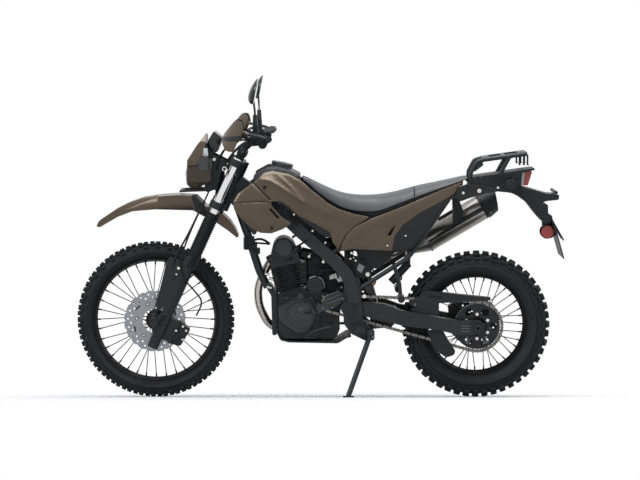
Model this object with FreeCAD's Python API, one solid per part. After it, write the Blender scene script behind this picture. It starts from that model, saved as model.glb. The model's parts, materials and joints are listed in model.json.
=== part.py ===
import math
import os

import FreeCAD
import Part

# The motorcycle is modelled upright, in millimetres: X to the rear, Y to the
# rider's right, Z up, the floor at zero. The whole machine is then leaned to
# its left until its side stand takes the load, which is how it is stored.

# Stance and steering
lean = 10.0
rake = 24.6
head_x = -312.6
head_z = 999.0
clamp_offset = 24.0
axle_lead = 36.5
leg_half_gap = 97.0

# Wheels and tyres
front_radius = 335.0
front_bead_radius = 262.0
front_tyre_width = 78.0
front_rim_width = 50.0
front_crown = 41.0
front_lugs = 52
front_lug_depth = 9.0
rear_radius = 315.0
rear_bead_radius = 214.0
rear_tyre_width = 104.0
rear_rim_width = 64.0
rear_crown = 54.0
rear_lugs = 36
rear_lug_depth = 13.0
tread_angle = 15.0
lug_share = 0.58
rim_lip = 8.0
rim_wall = 5.0
spoke_count = 36
spoke_diameter = 4.0
axle_diameter = 20.0
axle_bore = 12.0

# Brakes and drive
front_disc_radius = 131.0
front_disc_inner = 52.0
front_disc_y = -50.0
rear_disc_radius = 110.0
rear_disc_inner = 48.0
rear_disc_y = 66.0
disc_thickness = 4.0
disc_waves = 20
chain_y = -70.0
chain_pitch = 15.875
chain_plate_height = 15.0
chain_width = 20.0
chain_inner_width = 14.0
drive_teeth = 14
driven_teeth = 42
sprocket_inner = 40.0
sprocket_thickness = 6.0
drive_x = 64.0
drive_z = 414.0

# Chassis
pivot_x = 131.0
pivot_z = 401.0
swingarm_length = 558.0
spar_depth = 52.0
spar_width = 26.0
pivot_plate_y = 96.0
pivot_plate_thickness = 12.0
down_tube_diameter = 34.0
rail_diameter = 24.0
crank_x = -66.0
crank_z = 373.0
cylinder_tilt = 13.0
fin_count = 11
fin_pitch = 9.6
fin_thickness = 3.0
pipe_diameter = 36.0
muffler_diameter = 110.0
muffler_y = 172.0

# Fork, measured along the steering axis from the front axle
slider_diameter = 45.0
gaiter_diameter = 58.0
fork_tube_diameter = 41.0
slider_foot = 99.0
slider_top = 277.0
gaiter_length = 250.0
gaiter_ribs = 24
gaiter_fold = 3.5
clamp_thickness = 30.0
clamp_spacing = 195.0
stem_diameter = 30.0
head_tube_diameter = 54.0
bearing_gap = 0.5

# Handlebar
bar_diameter = 22.2
grip_diameter = 33.0
bar_half_width = 405.0
bar_clamp_rise = 45.0
bar_clamp_lead = 18.0
grip_length = 120.0

# Side stand
stand_x = 229.5
stand_y = -155.0
stand_z = 295.0
stand_diameter = 22.0
stand_eye = 15.0
stand_eye_thickness = 14.0
stand_bolt = 12.0
foot_radius = 24.0
foot_thickness = 7.0

# Fits
seat_gap = 0.2
cushion_gap = 0.3
steering_clearance = 6.0
disc_clearance = 5.2
tail_reach = 1047.0
rack_slope = 0.14
fender_wall = 5.0

Vec = FreeCAD.Vector
across = Vec(0, 1, 0)
middle = Vec(0, 0, 0)


# Places that several pieces share
def contact_lift():
    """How far the leaned machine rises because its tyres meet the floor off their middle."""
    turn = math.radians(lean)
    off = math.radians(tread_angle - lean)
    return (rear_radius - rear_crown) * math.cos(turn) + rear_crown * math.cos(off) - rear_radius * math.cos(turn)


def fork_foot():
    """Where the steering axis passes the front axle at right angles."""
    offset = clamp_offset + axle_lead
    foot_z = front_radius - offset * math.sin(math.radians(rake))
    foot_x = head_x - (head_z - foot_z) * math.tan(math.radians(rake))
    return Vec(foot_x, 0, foot_z)


def fork_head():
    """Height of the upper clamp above the front axle, along the steering axis."""
    return (Vec(head_x, 0, head_z) - fork_foot()).Length


def front_axle_centre():
    offset = clamp_offset + axle_lead
    turn = math.radians(rake)
    return fork_foot() + Vec(-offset * math.cos(turn), 0, offset * math.sin(turn))


def rear_axle_centre():
    drop = pivot_z - rear_radius
    run = math.sqrt(swingarm_length ** 2 - drop ** 2)
    return Vec(pivot_x + run, 0, rear_radius)


# Basic forms
def rounded_edges(corners, closed):
    """Straight runs joined by tangent arcs. A corner is a point and its radius."""
    count = len(corners)
    cuts = []
    for index, (point, radius) in enumerate(corners):
        inner = closed or 0 < index < count - 1
        before = corners[index - 1][0]
        after = corners[(index + 1) % count][0]
        if not inner or radius <= 0:
            cuts.append((point, None, point))
            continue
        arriving = (point - before).normalize()
        leaving = (after - point).normalize()
        half = arriving.getAngle(leaving) / 2
        reach = radius * math.tan(half)
        limit = 0.49 * min(point.distanceToPoint(before), point.distanceToPoint(after))
        reach = min(reach, limit)
        bend = reach / math.tan(half)
        inward = (leaving - arriving).normalize()
        crest = point + inward * (bend / math.cos(half) - bend)
        cuts.append((point - arriving * reach, crest, point + leaving * reach))
    edges = []
    for index, (start, crest, end) in enumerate(cuts):
        if crest is not None:
            edges.append(Part.Arc(start, crest, end).toShape())
        if index < count - 1 or closed:
            following = cuts[(index + 1) % count][0]
            if end.distanceToPoint(following) > 0.001:
                edges.append(Part.LineSegment(end, following).toShape())
    return edges


def side_outline(points, y):
    """A closed outline seen from the side. A point is x, z and a corner radius."""
    corners = [(Vec(p[0], y, p[1]), p[2] if len(p) > 2 else 0) for p in points]
    return Part.Wire(rounded_edges(corners, True))


def side_plate(points, y_low, y_high):
    face = Part.Face(side_outline(points, y_low))
    return face.extrude(Vec(0, y_high - y_low, 0))


def shifted(points, x, z):
    """Outline points moved to stand about a place."""
    return [(p[0] + x, p[1] + z) + tuple(p[2:]) for p in points]


def drum(x, z, radius, y_low, y_high):
    return Part.makeCylinder(radius, y_high - y_low, Vec(x, y_low, z), across)


def bar(start, end, radius):
    return Part.makeCylinder(radius, start.distanceToPoint(end), start, end - start)


def rod(points, diameter, bend=0):
    """A round rod bent along a route. With no bend given each arc is as large as it can be."""
    corners = []
    for index, point in enumerate(points):
        if bend > 0 or index in (0, len(points) - 1):
            corners.append((point, bend))
            continue
        before = points[index - 1]
        after = points[index + 1]
        shorter = min(point.distanceToPoint(before), point.distanceToPoint(after))
        half = (point - before).getAngle(after - point) / 2
        corners.append((point, 0.45 * shorter / math.tan(half)))
    path = Part.Wire(rounded_edges(corners, False))
    section = Part.Wire(Part.Circle(points[0], points[1] - points[0], diameter / 2).toShape())
    swept = Part.BRepOffsetAPI.MakePipeShell(path)
    swept.add(section)
    swept.build()
    swept.makeSolid()
    return swept.shape()


def spun(points, x, z):
    """A ring or disc turned about a wheel's axle. A point is radius and y."""
    corners = [Vec(p[0], p[1], 0) for p in points]
    face = Part.Face(Part.makePolygon(corners + corners[:1]))
    solid = face.revolve(middle, across, 360)
    solid.translate(Vec(x, 0, z))
    return solid


def joined(first, *others):
    return first.fuse(list(others)).removeSplitter()


def mirrored(shape):
    return shape.mirror(middle, across)


def both_sides(shape):
    return Part.makeCompound([shape, mirrored(shape)])


def on_fork(shape):
    """Places a piece that is drawn upright about the steering axis."""
    shape.rotate(middle, across, rake)
    shape.translate(fork_foot())
    return shape


def fork_point(point):
    """The upright place of a point given in fork coordinates."""
    turn = math.radians(rake)
    across_axis = Vec(math.cos(turn), 0, -math.sin(turn))
    along_axis = Vec(math.sin(turn), 0, math.cos(turn))
    return fork_foot() + across_axis * point.x + along_axis * point.z + across * point.y


def box(low, high):
    return Part.makeBox(high[0] - low[0], high[1] - low[1], high[2] - low[2], Vec(*low))


def smooth_section(x, half_widths):
    """A closed section across the machine: half widths given from the top down."""
    right = [Vec(x, width, z) for width, z in half_widths]
    left = [Vec(x, -width, z) for width, z in reversed(half_widths)]
    sides = []
    for row in (right, left):
        curve = Part.BSplineCurve()
        curve.interpolate(row)
        sides.append(curve.toShape())
    bottom = Part.LineSegment(right[-1], left[0]).toShape()
    top = Part.LineSegment(left[-1], right[0]).toShape()
    return Part.Wire([sides[0], bottom, sides[1], top])


# Wheels
def sector(profile, start, end):
    """Flat faces that carry a profile of radius and y from one angle to the next."""
    rows = []
    for angle in (start, end):
        turn = math.radians(angle)
        rows.append([Vec(r * math.cos(turn), y, r * math.sin(turn)) for r, y in profile])
    corners = [(rows[0][i], rows[0][i + 1], rows[1][i + 1], rows[1][i]) for i in range(len(profile) - 1)]
    return [Part.Face(Part.makePolygon(list(four) + [four[0]])) for four in corners]


def tyre(radius, bead, width, rim_width, crown, lugs, depth):
    """A carcass seated between the rim's lips, with lugs that stand out of its crown."""
    half = width / 2
    inner = rim_width / 2 - rim_wall - seat_gap
    facet = math.cos(math.pi * lug_share / lugs)
    seat_radius = (bead + seat_gap) / facet
    lip = (bead + rim_lip + seat_gap) / facet
    centre = radius - crown
    shoulder = (centre + crown * math.cos(math.radians(64)), crown * math.sin(math.radians(64)))
    wall = [((shoulder[0] + lip) / 2, half), (lip, inner), (seat_radius, inner)]
    below = [(r, -y) for r, y in reversed(wall)]
    carcass = wall + below

    def top(outer):
        turn = math.radians(tread_angle)
        edge = (centre + outer * math.cos(turn), outer * math.sin(turn))
        return [(shoulder[0], -shoulder[1]), (edge[0], -edge[1]), edge, shoulder]

    high = top(crown)
    low = top(crown - depth)
    pitch = 360.0 / lugs
    faces = []
    for number in range(lugs):
        start = -90 + (number - lug_share / 2) * pitch
        middle_angle = start + lug_share * pitch
        end = start + pitch
        faces += sector([high[3]] + carcass + [high[0]], start, middle_angle)
        faces += sector([high[3]] + carcass + [high[0]], middle_angle, end)
        faces += sector(high, start, middle_angle)
        faces += sector(low, middle_angle, end)
        for angle in (start, middle_angle):
            turn = math.radians(angle)
            ring = [Vec(r * math.cos(turn), y, r * math.sin(turn)) for r, y in high + low[2:0:-1]]
            faces.append(Part.Face(Part.makePolygon(ring + ring[:1])))
    return Part.makeSolid(Part.makeShell(faces))


def rim(bead, width):
    """A rolled rim: two lips, a bead seat and a well in the middle."""
    half = width / 2
    lip = bead + rim_lip
    well = bead - 8
    outer = [(lip, half), (lip, half - rim_wall), (bead, half - rim_wall)]
    outer += [(bead, half - 14), (well, half - 18)]
    under = [(well - rim_wall, half - 19), (bead - rim_wall, half - 6), (bead - rim_wall, half)]
    low_outer = [(r, -y) for r, y in reversed(outer)]
    low_under = [(r, -y) for r, y in under]
    return spun(outer + low_outer + low_under[::-1] + under, 0, 0)


def spokes(hub_radius, hub_half, bead, lean_steps):
    """Wire spokes laced in crossing pairs from the hub's flanges to the rim's well."""
    step = 360.0 / spoke_count
    wires = []
    for number in range(spoke_count):
        side = 1 if number % 2 else -1
        pull = lean_steps if number % 4 < 2 else -lean_steps
        rim_angle = math.radians(number * step)
        hub_angle = math.radians((number + pull) * step)
        near = Vec(hub_radius * math.cos(hub_angle), side * hub_half, hub_radius * math.sin(hub_angle))
        reach = bead - 10
        far = Vec(reach * math.cos(rim_angle), side * 6, reach * math.sin(rim_angle))
        wires.append(bar(near, far, spoke_diameter / 2))
    return wires


def flange(inner, disc_y, thickness):
    """The face of a hub that a disc or sprocket bolts to."""
    side = 1 if disc_y > 0 else -1
    seat = disc_y - side * (thickness / 2 + seat_gap)
    return drum(0, 0, inner + 9, min(seat, seat - side * 8), max(seat, seat - side * 8))


def wire_wheel(bead, rim_width, hub_radius, hub_half, end_low, end_high, lean_steps, flanges, centre):
    """Rim, hub and spokes of one wheel, joined where the spokes pull."""
    barrel = hub_radius * 0.6
    profile = [(axle_diameter / 2 + bearing_gap, end_low), (axle_diameter / 2 + 6, end_low)]
    profile += [(barrel, -hub_half - 14), (hub_radius + 6, -hub_half - 5), (hub_radius + 6, -hub_half + 5)]
    profile += [(barrel, -hub_half + 12), (barrel, hub_half - 12)]
    profile += [(hub_radius + 6, hub_half - 5), (hub_radius + 6, hub_half + 5), (barrel, hub_half + 14)]
    profile += [(axle_diameter / 2 + 6, end_high), (axle_diameter / 2 + bearing_gap, end_high)]
    hub = spun(profile, 0, 0)
    wheel = hub.fuse([rim(bead, rim_width)] + spokes(hub_radius, hub_half, bead, lean_steps) + flanges)
    wheel = wheel.cut(drum(0, 0, axle_diameter / 2 + bearing_gap, -200, 200))
    wheel.translate(centre)
    return wheel


def brake_disc(radius, inner, y, holes, centre):
    """A wavy-edged disc with a ring of drillings."""
    ring = drum(0, 0, radius, y - disc_thickness / 2, y + disc_thickness / 2)
    cutters = [drum(0, 0, inner, y - disc_thickness, y + disc_thickness)]
    for number in range(disc_waves):
        turn = math.radians(number * 360.0 / disc_waves)
        far = radius + 8
        cutters.append(drum(far * math.cos(turn), far * math.sin(turn), 12, y - 9, y + 9))
    for number in range(holes):
        turn = math.radians((number + 0.5) * 360.0 / holes)
        middle_ring = (radius * 0.88 if number % 2 else radius * 0.78)
        cutters.append(drum(middle_ring * math.cos(turn), middle_ring * math.sin(turn), 4, y - 9, y + 9))
    disc = ring.cut(cutters)
    disc.translate(centre)
    return disc


# Front end, drawn upright about the steering axis
def fork_leg():
    """One lower leg with its foot, reaching forward to hold the axle."""
    radius = slider_diameter / 2
    y = leg_half_gap
    tube = Part.makeCylinder(radius, slider_foot + slider_top, Vec(-clamp_offset, y, -slider_foot))
    lead = clamp_offset + axle_lead
    boss = drum(-lead, 0, 21, y - radius, y + radius - 4)
    web = side_plate(
        [(-lead + 2, 30, 12), (-clamp_offset, 95), (-clamp_offset, -70), (-lead + 2, -30, 12)],
        y - 14, y + 14)
    guard = side_plate(
        [(-50, 318, 12), (-24, 336, 12), (-24, 330), (-24, 60), (-38, 40, 8), (-58, 96, 20), (-56, 290, 20)],
        y - 20, y + 29)
    gaiter_room = Part.makeCylinder(gaiter_diameter / 2 + 1, 400, Vec(-clamp_offset, y, slider_top - 1))
    leg = joined(tube, boss, web, guard.cut(gaiter_room))
    return leg.cut(drum(-lead, 0, axle_diameter / 2 + seat_gap, y - 60, y + 60))


def fork_sliders():
    left = fork_leg()
    return on_fork(both_sides(left))


def fork_gaiters():
    outer = gaiter_diameter / 2
    rib = gaiter_length / gaiter_ribs
    bore = fork_tube_diameter / 2
    folds = [Vec(bore, 0, 0)]
    for number in range(gaiter_ribs):
        folds.append(Vec(outer - gaiter_fold, 0, number * rib))
        folds.append(Vec(outer, 0, (number + 0.5) * rib))
    folds += [Vec(outer - gaiter_fold, 0, gaiter_length), Vec(bore, 0, gaiter_length)]
    sleeve = Part.Face(Part.makePolygon(folds + folds[:1])).revolve(middle, Vec(0, 0, 1), 360)
    sleeve = sleeve.fuse(Part.makeCylinder(bore, gaiter_length))
    sleeve.translate(Vec(-clamp_offset, leg_half_gap, slider_top))
    return on_fork(both_sides(sleeve))


def fork_tubes():
    start = slider_top + gaiter_length
    top = fork_head() + clamp_thickness / 2 + 6
    tube = Part.makeCylinder(fork_tube_diameter / 2, top - start, Vec(-clamp_offset, leg_half_gap, start))
    return on_fork(both_sides(tube))


def triple_clamp(height):
    """One yoke: a bridge across the steering stem with a split ring at each leg."""
    low = height - clamp_thickness / 2
    eye = fork_tube_diameter / 2 + 11
    plate = Part.makeBox(44, leg_half_gap * 2, clamp_thickness, Vec(-34, -leg_half_gap, low))
    rings = [Part.makeCylinder(eye, clamp_thickness, Vec(-clamp_offset, side * leg_half_gap, low))
             for side in (1, -1)]
    nose = Part.makeCylinder(stem_diameter / 2 + 12, clamp_thickness, Vec(0, 0, low))
    yoke = joined(plate, nose, *rings)
    holes = [Part.makeCylinder(fork_tube_diameter / 2 + seat_gap, 60, Vec(-clamp_offset, side * leg_half_gap, low - 15))
             for side in (1, -1)]
    return yoke.cut(holes)


def triple_clamps():
    top = fork_head()
    stem_low = top - clamp_spacing
    stem = Part.makeCylinder(stem_diameter / 2, clamp_spacing, Vec(0, 0, stem_low))
    risers = []
    for side in (1, -1):
        post = Part.makeCylinder(16, bar_clamp_rise, Vec(-bar_clamp_lead, side * 48, top + 10))
        saddle = drum(-bar_clamp_lead, top + bar_clamp_rise, 22, side * 48 - 16, side * 48 + 16)
        risers += [post, saddle]
    yokes = joined(triple_clamp(top), triple_clamp(stem_low), stem, *risers)
    tunnel = drum(-bar_clamp_lead, top + bar_clamp_rise, bar_diameter / 2 + seat_gap, -90, 90)
    return on_fork(yokes.cut(tunnel))


def front_axle():
    """A hollow axle through both legs, with its nut."""
    lead = clamp_offset + axle_lead
    reach = leg_half_gap + slider_diameter / 2
    pin = drum(-lead, 0, axle_diameter / 2, -reach - 2, reach + 2)
    nut = Part.makeCylinder(14, 8, Vec(-lead, reach + seat_gap, 0), across)
    head = Part.makeCylinder(14, 8, Vec(-lead, -reach - 8 - seat_gap, 0), across)
    shaft = joined(pin, nut, head)
    return on_fork(shaft.cut(drum(-lead, 0, axle_bore / 2, -300, 300)))


def front_caliper():
    """A sliding caliper over the rear edge of the disc, on ears of the left leg."""
    half = disc_thickness / 2 + disc_clearance
    y = front_disc_y
    body = side_plate([(18, -62, 14), (82, -50, 14), (92, 34, 14), (22, 46, 14)], y - 27, y + 17)
    edge = front_disc_radius + disc_clearance - clamp_offset - axle_lead
    slot = side_plate([(-100, -120), (edge, -120), (edge, 120), (-100, 120)], y - half, y + half)
    ear = side_plate([(-clamp_offset + 10, -50, 5), (40, -50, 5), (40, 40, 5), (-clamp_offset + 10, 40, 5)],
                     -leg_half_gap, y - 27)
    return on_fork(joined(body.cut(slot), ear))


def front_fender():
    """The high front mudguard: a deep channel that dips under the lower clamp."""
    axle = front_axle_centre()
    crown = [(-931, 735, 6), (-917, 761, 10), (-842, 811, 60), (-789, 837, 60), (-730, 857, 60), (-648, 868, 60),
             (-583, 872, 60), (-505, 866, 16), (-466, 826, 16), (-430, 808, 30), (-392, 790, 40), (-362, 760, 40),
             (-340, 727, 30), (-326, 692, 6)]
    edge = [(-336, 690, 4), (-374, 722, 30), (-416, 752, 30), (-468, 780, 20), (-518, 808, 20), (-597, 810, 60),
            (-677, 812, 60), (-775, 803, 60), (-838, 778, 60), (-913, 734, 6)]
    solid = side_plate(crown + edge, -68, 68)
    inner = [(x, z - fender_wall, r) for x, z, r in crown[1:-1]]
    room = [(-346, 660, 4), (-500, 700, 4), (-900, 640, 4), (-960, 700, 4)]
    hollow = side_plate(inner + room, -60, 60)
    plan = Part.makePolygon([Vec(axle.x + x, y, 0) for x, y in (
        (-255, -30), (-200, -50), (20, -68), (200, -66), (300, -50), (362, -34),
        (362, 34), (300, 50), (200, 66), (20, 68), (-200, 50), (-255, 30), (-255, -30))])
    trim = Part.Face(plan).extrude(Vec(0, 0, 2000))
    narrow = trim.copy()
    narrow.scale(0.92, Vec(axle.x + 60, 0, 0))
    seat_low = fork_head() - clamp_spacing - clamp_thickness / 2 - seat_gap
    pad = on_fork(Part.makeBox(60, 80, 28, Vec(-48, -40, seat_low - 28)))
    return joined(solid.common(trim).cut(hollow.common(narrow)), pad)


def headlight_mask():
    """The headlight surround: a crowned shell with the lamp's opening in front."""
    top = Vec(head_x, 0, head_z)
    side = [(-147, 136, 4), (-190, 78, 60), (-226, 22, 10), (-229, -80, 10), (-214, -97, 10), (-176, -97, 20),
            (-128, -62, 8), (-126, -4, 10), (-158, 20, 10), (-147, 102, 6)]
    shell = side_plate(shifted(side, top.x, top.z), -98, 98)
    waist = Part.Face(Part.makePolygon([Vec(0, y, top.z + z) for y, z in (
        (-44, 140), (-84, 100), (-98, 20), (-90, -70), (-56, -120),
        (56, -120), (90, -70), (98, 20), (84, 100), (44, 140), (-44, 140))]))
    waist.translate(Vec(top.x - 400, 0, 0))
    body = shell.common(waist.extrude(Vec(400, 0, 0)))
    hollow = box((top.x - 200, -80, top.z - 90), (top.x - 100, 80, top.z + 20))
    opening = box((top.x - 300, -74, top.z - 74), (top.x - 150, 74, top.z - 6))
    return body.cut(hollow).cut(opening)


def headlight_lens():
    top = Vec(head_x, 0, head_z)
    lens = side_plate(
        shifted([(-228, -7, 4), (-236, -30, 10), (-232, -73, 4), (-180, -73, 4), (-180, -7, 4)], top.x, top.z),
        -73.5, 73.5)
    return lens


def lamp_stays():
    """Two deep stays ahead of the upper clamp that carry the lamp, its mask and the gauge."""
    outline = [(-34, 12, 4), (-40, -12, 4), (-84, -26, 10), (-104, -100, 8), (-150, -118, 10), (-176, 30, 6),
               (-176, 80, 10), (-150, 96, 10), (-122, 47, 10), (-60, 16, 10)]
    plate = side_plate(shifted(outline, head_x, head_z), 60, 66)
    shelf = [(-133, 49, 0), (-103, 60.5, 0), (-102, 55, 0), (-131, 43.5, 0)]
    brace = [(-262, -115, 3), (-262, -107, 3), (-130, -100, 3), (-130, -110, 3)]
    shelves = [side_plate(shifted(points, head_x, head_z), -66, 66) for points in (shelf, brace)]
    window = side_plate(shifted([(-246, -130), (-246, -90), (-160, -90), (-160, -130)], head_x, head_z), -54, 54)
    return joined(plate, mirrored(plate), *shelves).cut(window)


def instrument():
    """The gauge box above the lamp, tipped towards the rider."""
    top = Vec(head_x, 0, head_z)
    body = side_plate(
        shifted([(-141, 102, 6), (-117, 142, 6), (-78, 112, 6), (-98, 61, 6), (-124, 50, 6)], top.x, top.z),
        -66, 66)
    return body


def bar_route(side):
    """Half of the handlebar, in fork coordinates, from the clamp to the grip's end."""
    base = fork_head() + bar_clamp_rise
    x = -bar_clamp_lead
    end = bar_half_width
    return [
        Vec(x, 0, base),
        Vec(x, side * 78, base),
        Vec(x + 8, side * 165, base + 66),
        Vec(x + 26, side * 255, base + 82),
        Vec(x + 72, side * end, base + 118),
    ]


def handlebar():
    half = bar_route(1)
    tube = rod(half, bar_diameter, 60)
    return on_fork(joined(tube, mirrored(tube)))


def hand_controls():
    """On each side a grip, a switch pod and a lever on its perch."""
    route = bar_route(1)
    inner, end = route[3], route[4]
    along = (end - inner).normalize()
    start = end - along * grip_length
    grip = bar(start, end, grip_diameter / 2)
    pod = bar(start - along * 62, start, 22)
    perch_place = start - along * 70
    perch = bar(perch_place - along * 18, perch_place + along * 10, 17)
    knuckle = perch_place + Vec(-42, 0, 4)
    arm = bar(perch_place, knuckle, 8)
    lever = rod([knuckle, knuckle + along * 60 + Vec(-6, 0, 0), knuckle + along * 165 + Vec(8, 0, 0)], 12, 80)
    side = joined(grip, pod, perch, arm, lever)
    side = side.cut(bar(route[3] - along * 5, end + along * 5, bar_diameter / 2 + 0.02))
    cap = bar(end, end + along * 3, grip_diameter / 2)
    side = side.fuse(cap)
    return on_fork(both_sides(side))


def hand_guards():
    """A curved shell ahead of each hand on a spar that bolts to the bar's end."""
    route = bar_route(1)
    end = route[4]
    along = (end - route[3]).normalize()
    tip = end + along * 4
    spar = rod([tip + Vec(0, 14, 0), tip + Vec(-40, 30, -4), tip + Vec(-140, -10, -24),
                tip + Vec(-160, -110, -46), tip + Vec(-126, -190, -54)], 13, 26)
    foot = bar(tip, tip + along * 20, 13)
    shell = side_plate([(-176, -80, 20), (-150, 16, 20), (-124, 22, 16), (-88, -26, 20), (-66, -90, 20),
                        (-134, -112, 20)], -205, 30)
    outer = Part.makeCylinder(150, 400, Vec(-20, -90, -200))
    inner = Part.makeCylinder(146, 400, Vec(-20, -90, -200))
    shell = shell.common(outer).cut(inner)
    shell = shell.common(box((-300, -205, -140), (-60, 30, 100)))
    shell.translate(tip)
    return on_fork(both_sides(joined(spar, foot, shell)))


def mirrors():
    """A round-cornered glass in a shell on a slim stem that stands in the lever perch."""
    route = bar_route(1)
    along = (route[4] - route[3]).normalize()
    start = route[4] - along * grip_length
    base = start - along * 70 + Vec(0, 0, 16.5)
    boot = bar(base, base + Vec(-6, 4, 44), 9)
    top = base + Vec(-66, 96, 150)
    stem = rod([base + Vec(-2, 2, 20), base + Vec(-14, 16, 92), base + Vec(-62, 84, 128), top], 9, 30)
    head = side_plate([(-15, -52, 12), (-15, 52, 12), (13, 44, 10), (13, -44, 10)], -66, 66)
    plan = Part.Face(Part.Wire(rounded_edges([(Vec(-40, y, z), r) for y, z, r in (
        (-66, -40, 26), (-58, 54, 26), (66, 48, 26), (62, -50, 30))], True)))
    head = head.common(plan.extrude(Vec(80, 0, 0)))
    head.rotate(middle, across, -rake + 6)
    head.translate(top + Vec(0, 10, 30))
    return on_fork(both_sides(joined(boot, stem, head)))


def front_signals():
    """A lamp on a short rubber stalk each side of the mask."""
    x = head_x - 158
    z = head_z + 14
    stalk = Part.makeCylinder(9, 40, Vec(x, 97.2, z), across)
    body = side_plate(shifted([(-12, -26, 8), (24, -26, 8), (24, 28, 8), (-8, 40, 8), (-14, 10, 8)], x, z), 137, 200)
    return both_sides(joined(stalk, body))


def brake_hose():
    """The hydraulic line from the right lever, behind the lamp and down the left leg."""
    axle = front_axle_centre()
    radius = 3.5
    lower = Vec(axle.x + 176, -58, axle.z + 24)
    points = [lower, Vec(axle.x + 206, -66, axle.z + 84), Vec(axle.x + 168, -96, axle.z + 140),
              Vec(axle.x + 128, -132, axle.z + 190), Vec(axle.x + 112, -134, axle.z + 260),
              Vec(axle.x + 140, -134, axle.z + 345), Vec(axle.x + 176, -132, axle.z + 430),
              Vec(axle.x + 214, -120, axle.z + 510), Vec(axle.x + 246, -84, axle.z + 580)]
    return rod(points, radius * 2)


# Frame and what is bolted to it
spar_y = pivot_plate_y + spar_width / 2


def spar_route(side):
    return [
        Vec(-328, side * 13, 926),
        Vec(-283, side * 14, 893),
        Vec(-155, side * 44, 800),
        Vec(-65, side * 66, 717),
        Vec(85, side * 102, 592),
        Vec(132, side * spar_y, 540),
        Vec(156, side * spar_y, 470),
        Vec(160, side * spar_y, 420),
    ]


def spar(side):
    """One side of the frame: a box section from the steering head to the pivot."""
    route = spar_route(side)
    bends = [0, 300, 120, 200, 160, 50, 60, 0]
    path = Part.Wire(rounded_edges(list(zip(route, bends)), False))
    along = (route[1] - route[0]).normalize()
    up = across.cross(along).normalize()
    out = along.cross(up).normalize()
    half_w = spar_width / 2
    half_d = spar_depth / 2
    corners = [route[0] + out * a + up * b for a, b in (
        (-half_w, -half_d), (half_w, -half_d), (half_w, half_d), (-half_w, half_d))]
    section = Part.makePolygon(corners + corners[:1])
    swept = Part.BRepOffsetAPI.MakePipeShell(path)
    swept.setBiNormalMode(across)
    swept.add(section)
    swept.build()
    swept.makeSolid()
    return swept.shape()


def frame():
    """Steering head, two spars, a single down tube, pivot plates and their lugs."""
    gap = bearing_gap
    low = fork_head() - clamp_spacing + clamp_thickness / 2 + gap
    high = fork_head() - clamp_thickness / 2 - gap
    head = Part.makeCylinder(head_tube_diameter / 2, high - low, Vec(0, 0, low))
    head = on_fork(head)
    gusset = side_plate([(-364, 838, 4), (-328, 916, 4), (-296, 908, 10), (-180, 836, 10), (-262, 690, 10),
                         (-330, 800, 10)], -17, 17)
    down = rod([Vec(-330, 0, 812), Vec(-282, 0, 676), Vec(-240, 0, 540), Vec(-206, 0, 474)], down_tube_diameter, 300)
    hanger = side_plate([(-226, 500, 10), (-190, 490, 10), (-166, 452), (-166, 270, 10), (-186, 270, 10),
                         (-190, 440, 20)], -34, 34)
    side_plates = []
    for side in (1, -1):
        inner = side * pivot_plate_y
        outer = side * (pivot_plate_y + pivot_plate_thickness)
        outline = [(128, 560, 20), (185, 520, 30), (192, 440, 40), (196, 350, 30), (248, 300, 12), (248, 260, 12),
                   (206, 260, 20), (150, 288, 14), (118, 330, 30), (112, 430, 40)]
        side_plates.append(side_plate(outline, min(inner, outer), max(inner, outer)))
        side_plates.append(spar(side))
    crossbar = bar(Vec(140, -98, 520), Vec(140, 98, 520), 16)
    tank_pads = [box((-132, min(side * 40, side * 64), 790), (-108, max(side * 40, side * 64), 846))
                 for side in (1, -1)]
    shock_lug = side_plate([(134, 536, 6), (166, 604, 12), (200, 604, 12), (197, 574, 10), (160, 562, 14), (150, 510, 6), (134, 510, 6)],
                           -36, -26)
    shock_lug = shock_lug.cut(drum(shock_top.x, shock_top.z, 8.2, -60, 60))
    shock_lug2 = mirrored(shock_lug)
    place, axis = stand_frame()[:2]
    boss_start = place - axis * (stand_eye_thickness / 2 + 0.4)
    reach = (-pivot_plate_y - 4 - boss_start.y) / -axis.y
    boss = bar(boss_start - axis * reach, boss_start, stand_eye - 1)
    bolt_end = place + axis * (stand_eye_thickness / 2 + 0.4)
    stand_pin = joined(bar(boss_start, bolt_end, stand_bolt / 2), bar(bolt_end, bolt_end + axis * 7, 10))
    solid = joined(head, gusset, down, hanger, crossbar, shock_lug, shock_lug2, boss, stand_pin,
                   *(side_plates + tank_pads))
    bore = on_fork(Part.makeCylinder(stem_diameter / 2 + bearing_gap, 1500, Vec(0, 0, 0)))
    yoke_reach = stem_diameter / 2 + 27 + steering_clearance
    yoke_rooms = [on_fork(Part.makeCylinder(yoke_reach, 60, Vec(0, 0, start))) for start in (low - 60, high)]
    pivot = drum(pivot_x, pivot_z, 8.2, -300, 300)
    return solid.cut([bore, pivot] + yoke_rooms)


def subframe():
    """Two rails under the seat, braced from the pivot plates."""
    r = rail_diameter
    parts = []
    for side in (1, -1):
        upper = rod([Vec(60, side * 76, 622), Vec(240, side * 80, 732), Vec(430, side * 80, 812),
                     Vec(648, side * 62, 898)], r, 200)
        lower = rod([Vec(170, side * 96, 470), Vec(391, side * 92, 612), Vec(560, side * 76, 858)], r - 4, 120)
        parts += [upper, lower]
    ties = [bar(Vec(x, -y, z), Vec(x, y, z), 9) for x, y, z in (
        (250, 80, 737), (440, 80, 816), (640, 62, 895), (391, 92, 612))]
    rests = [box((x - 6, -44, z), (x + 6, 44, z + 80)) for x, z in ((250, 737), (440, 816))]
    return joined(*(parts + ties + rests))


def stand_frame():
    """The side stand's pivot, its axis, and the leg's direction when down and when folded."""
    place = Vec(stand_x, stand_y, stand_z)
    down_way = Vec(-0.337, -0.328, -0.883).normalize()
    fold_way = Vec(1, 0, 0.03).normalize()
    return place, down_way.cross(fold_way).normalize(), down_way, fold_way


shock_top = Vec(182, 0, 586)
shock_low = Vec(248, 0, 336)


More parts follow.
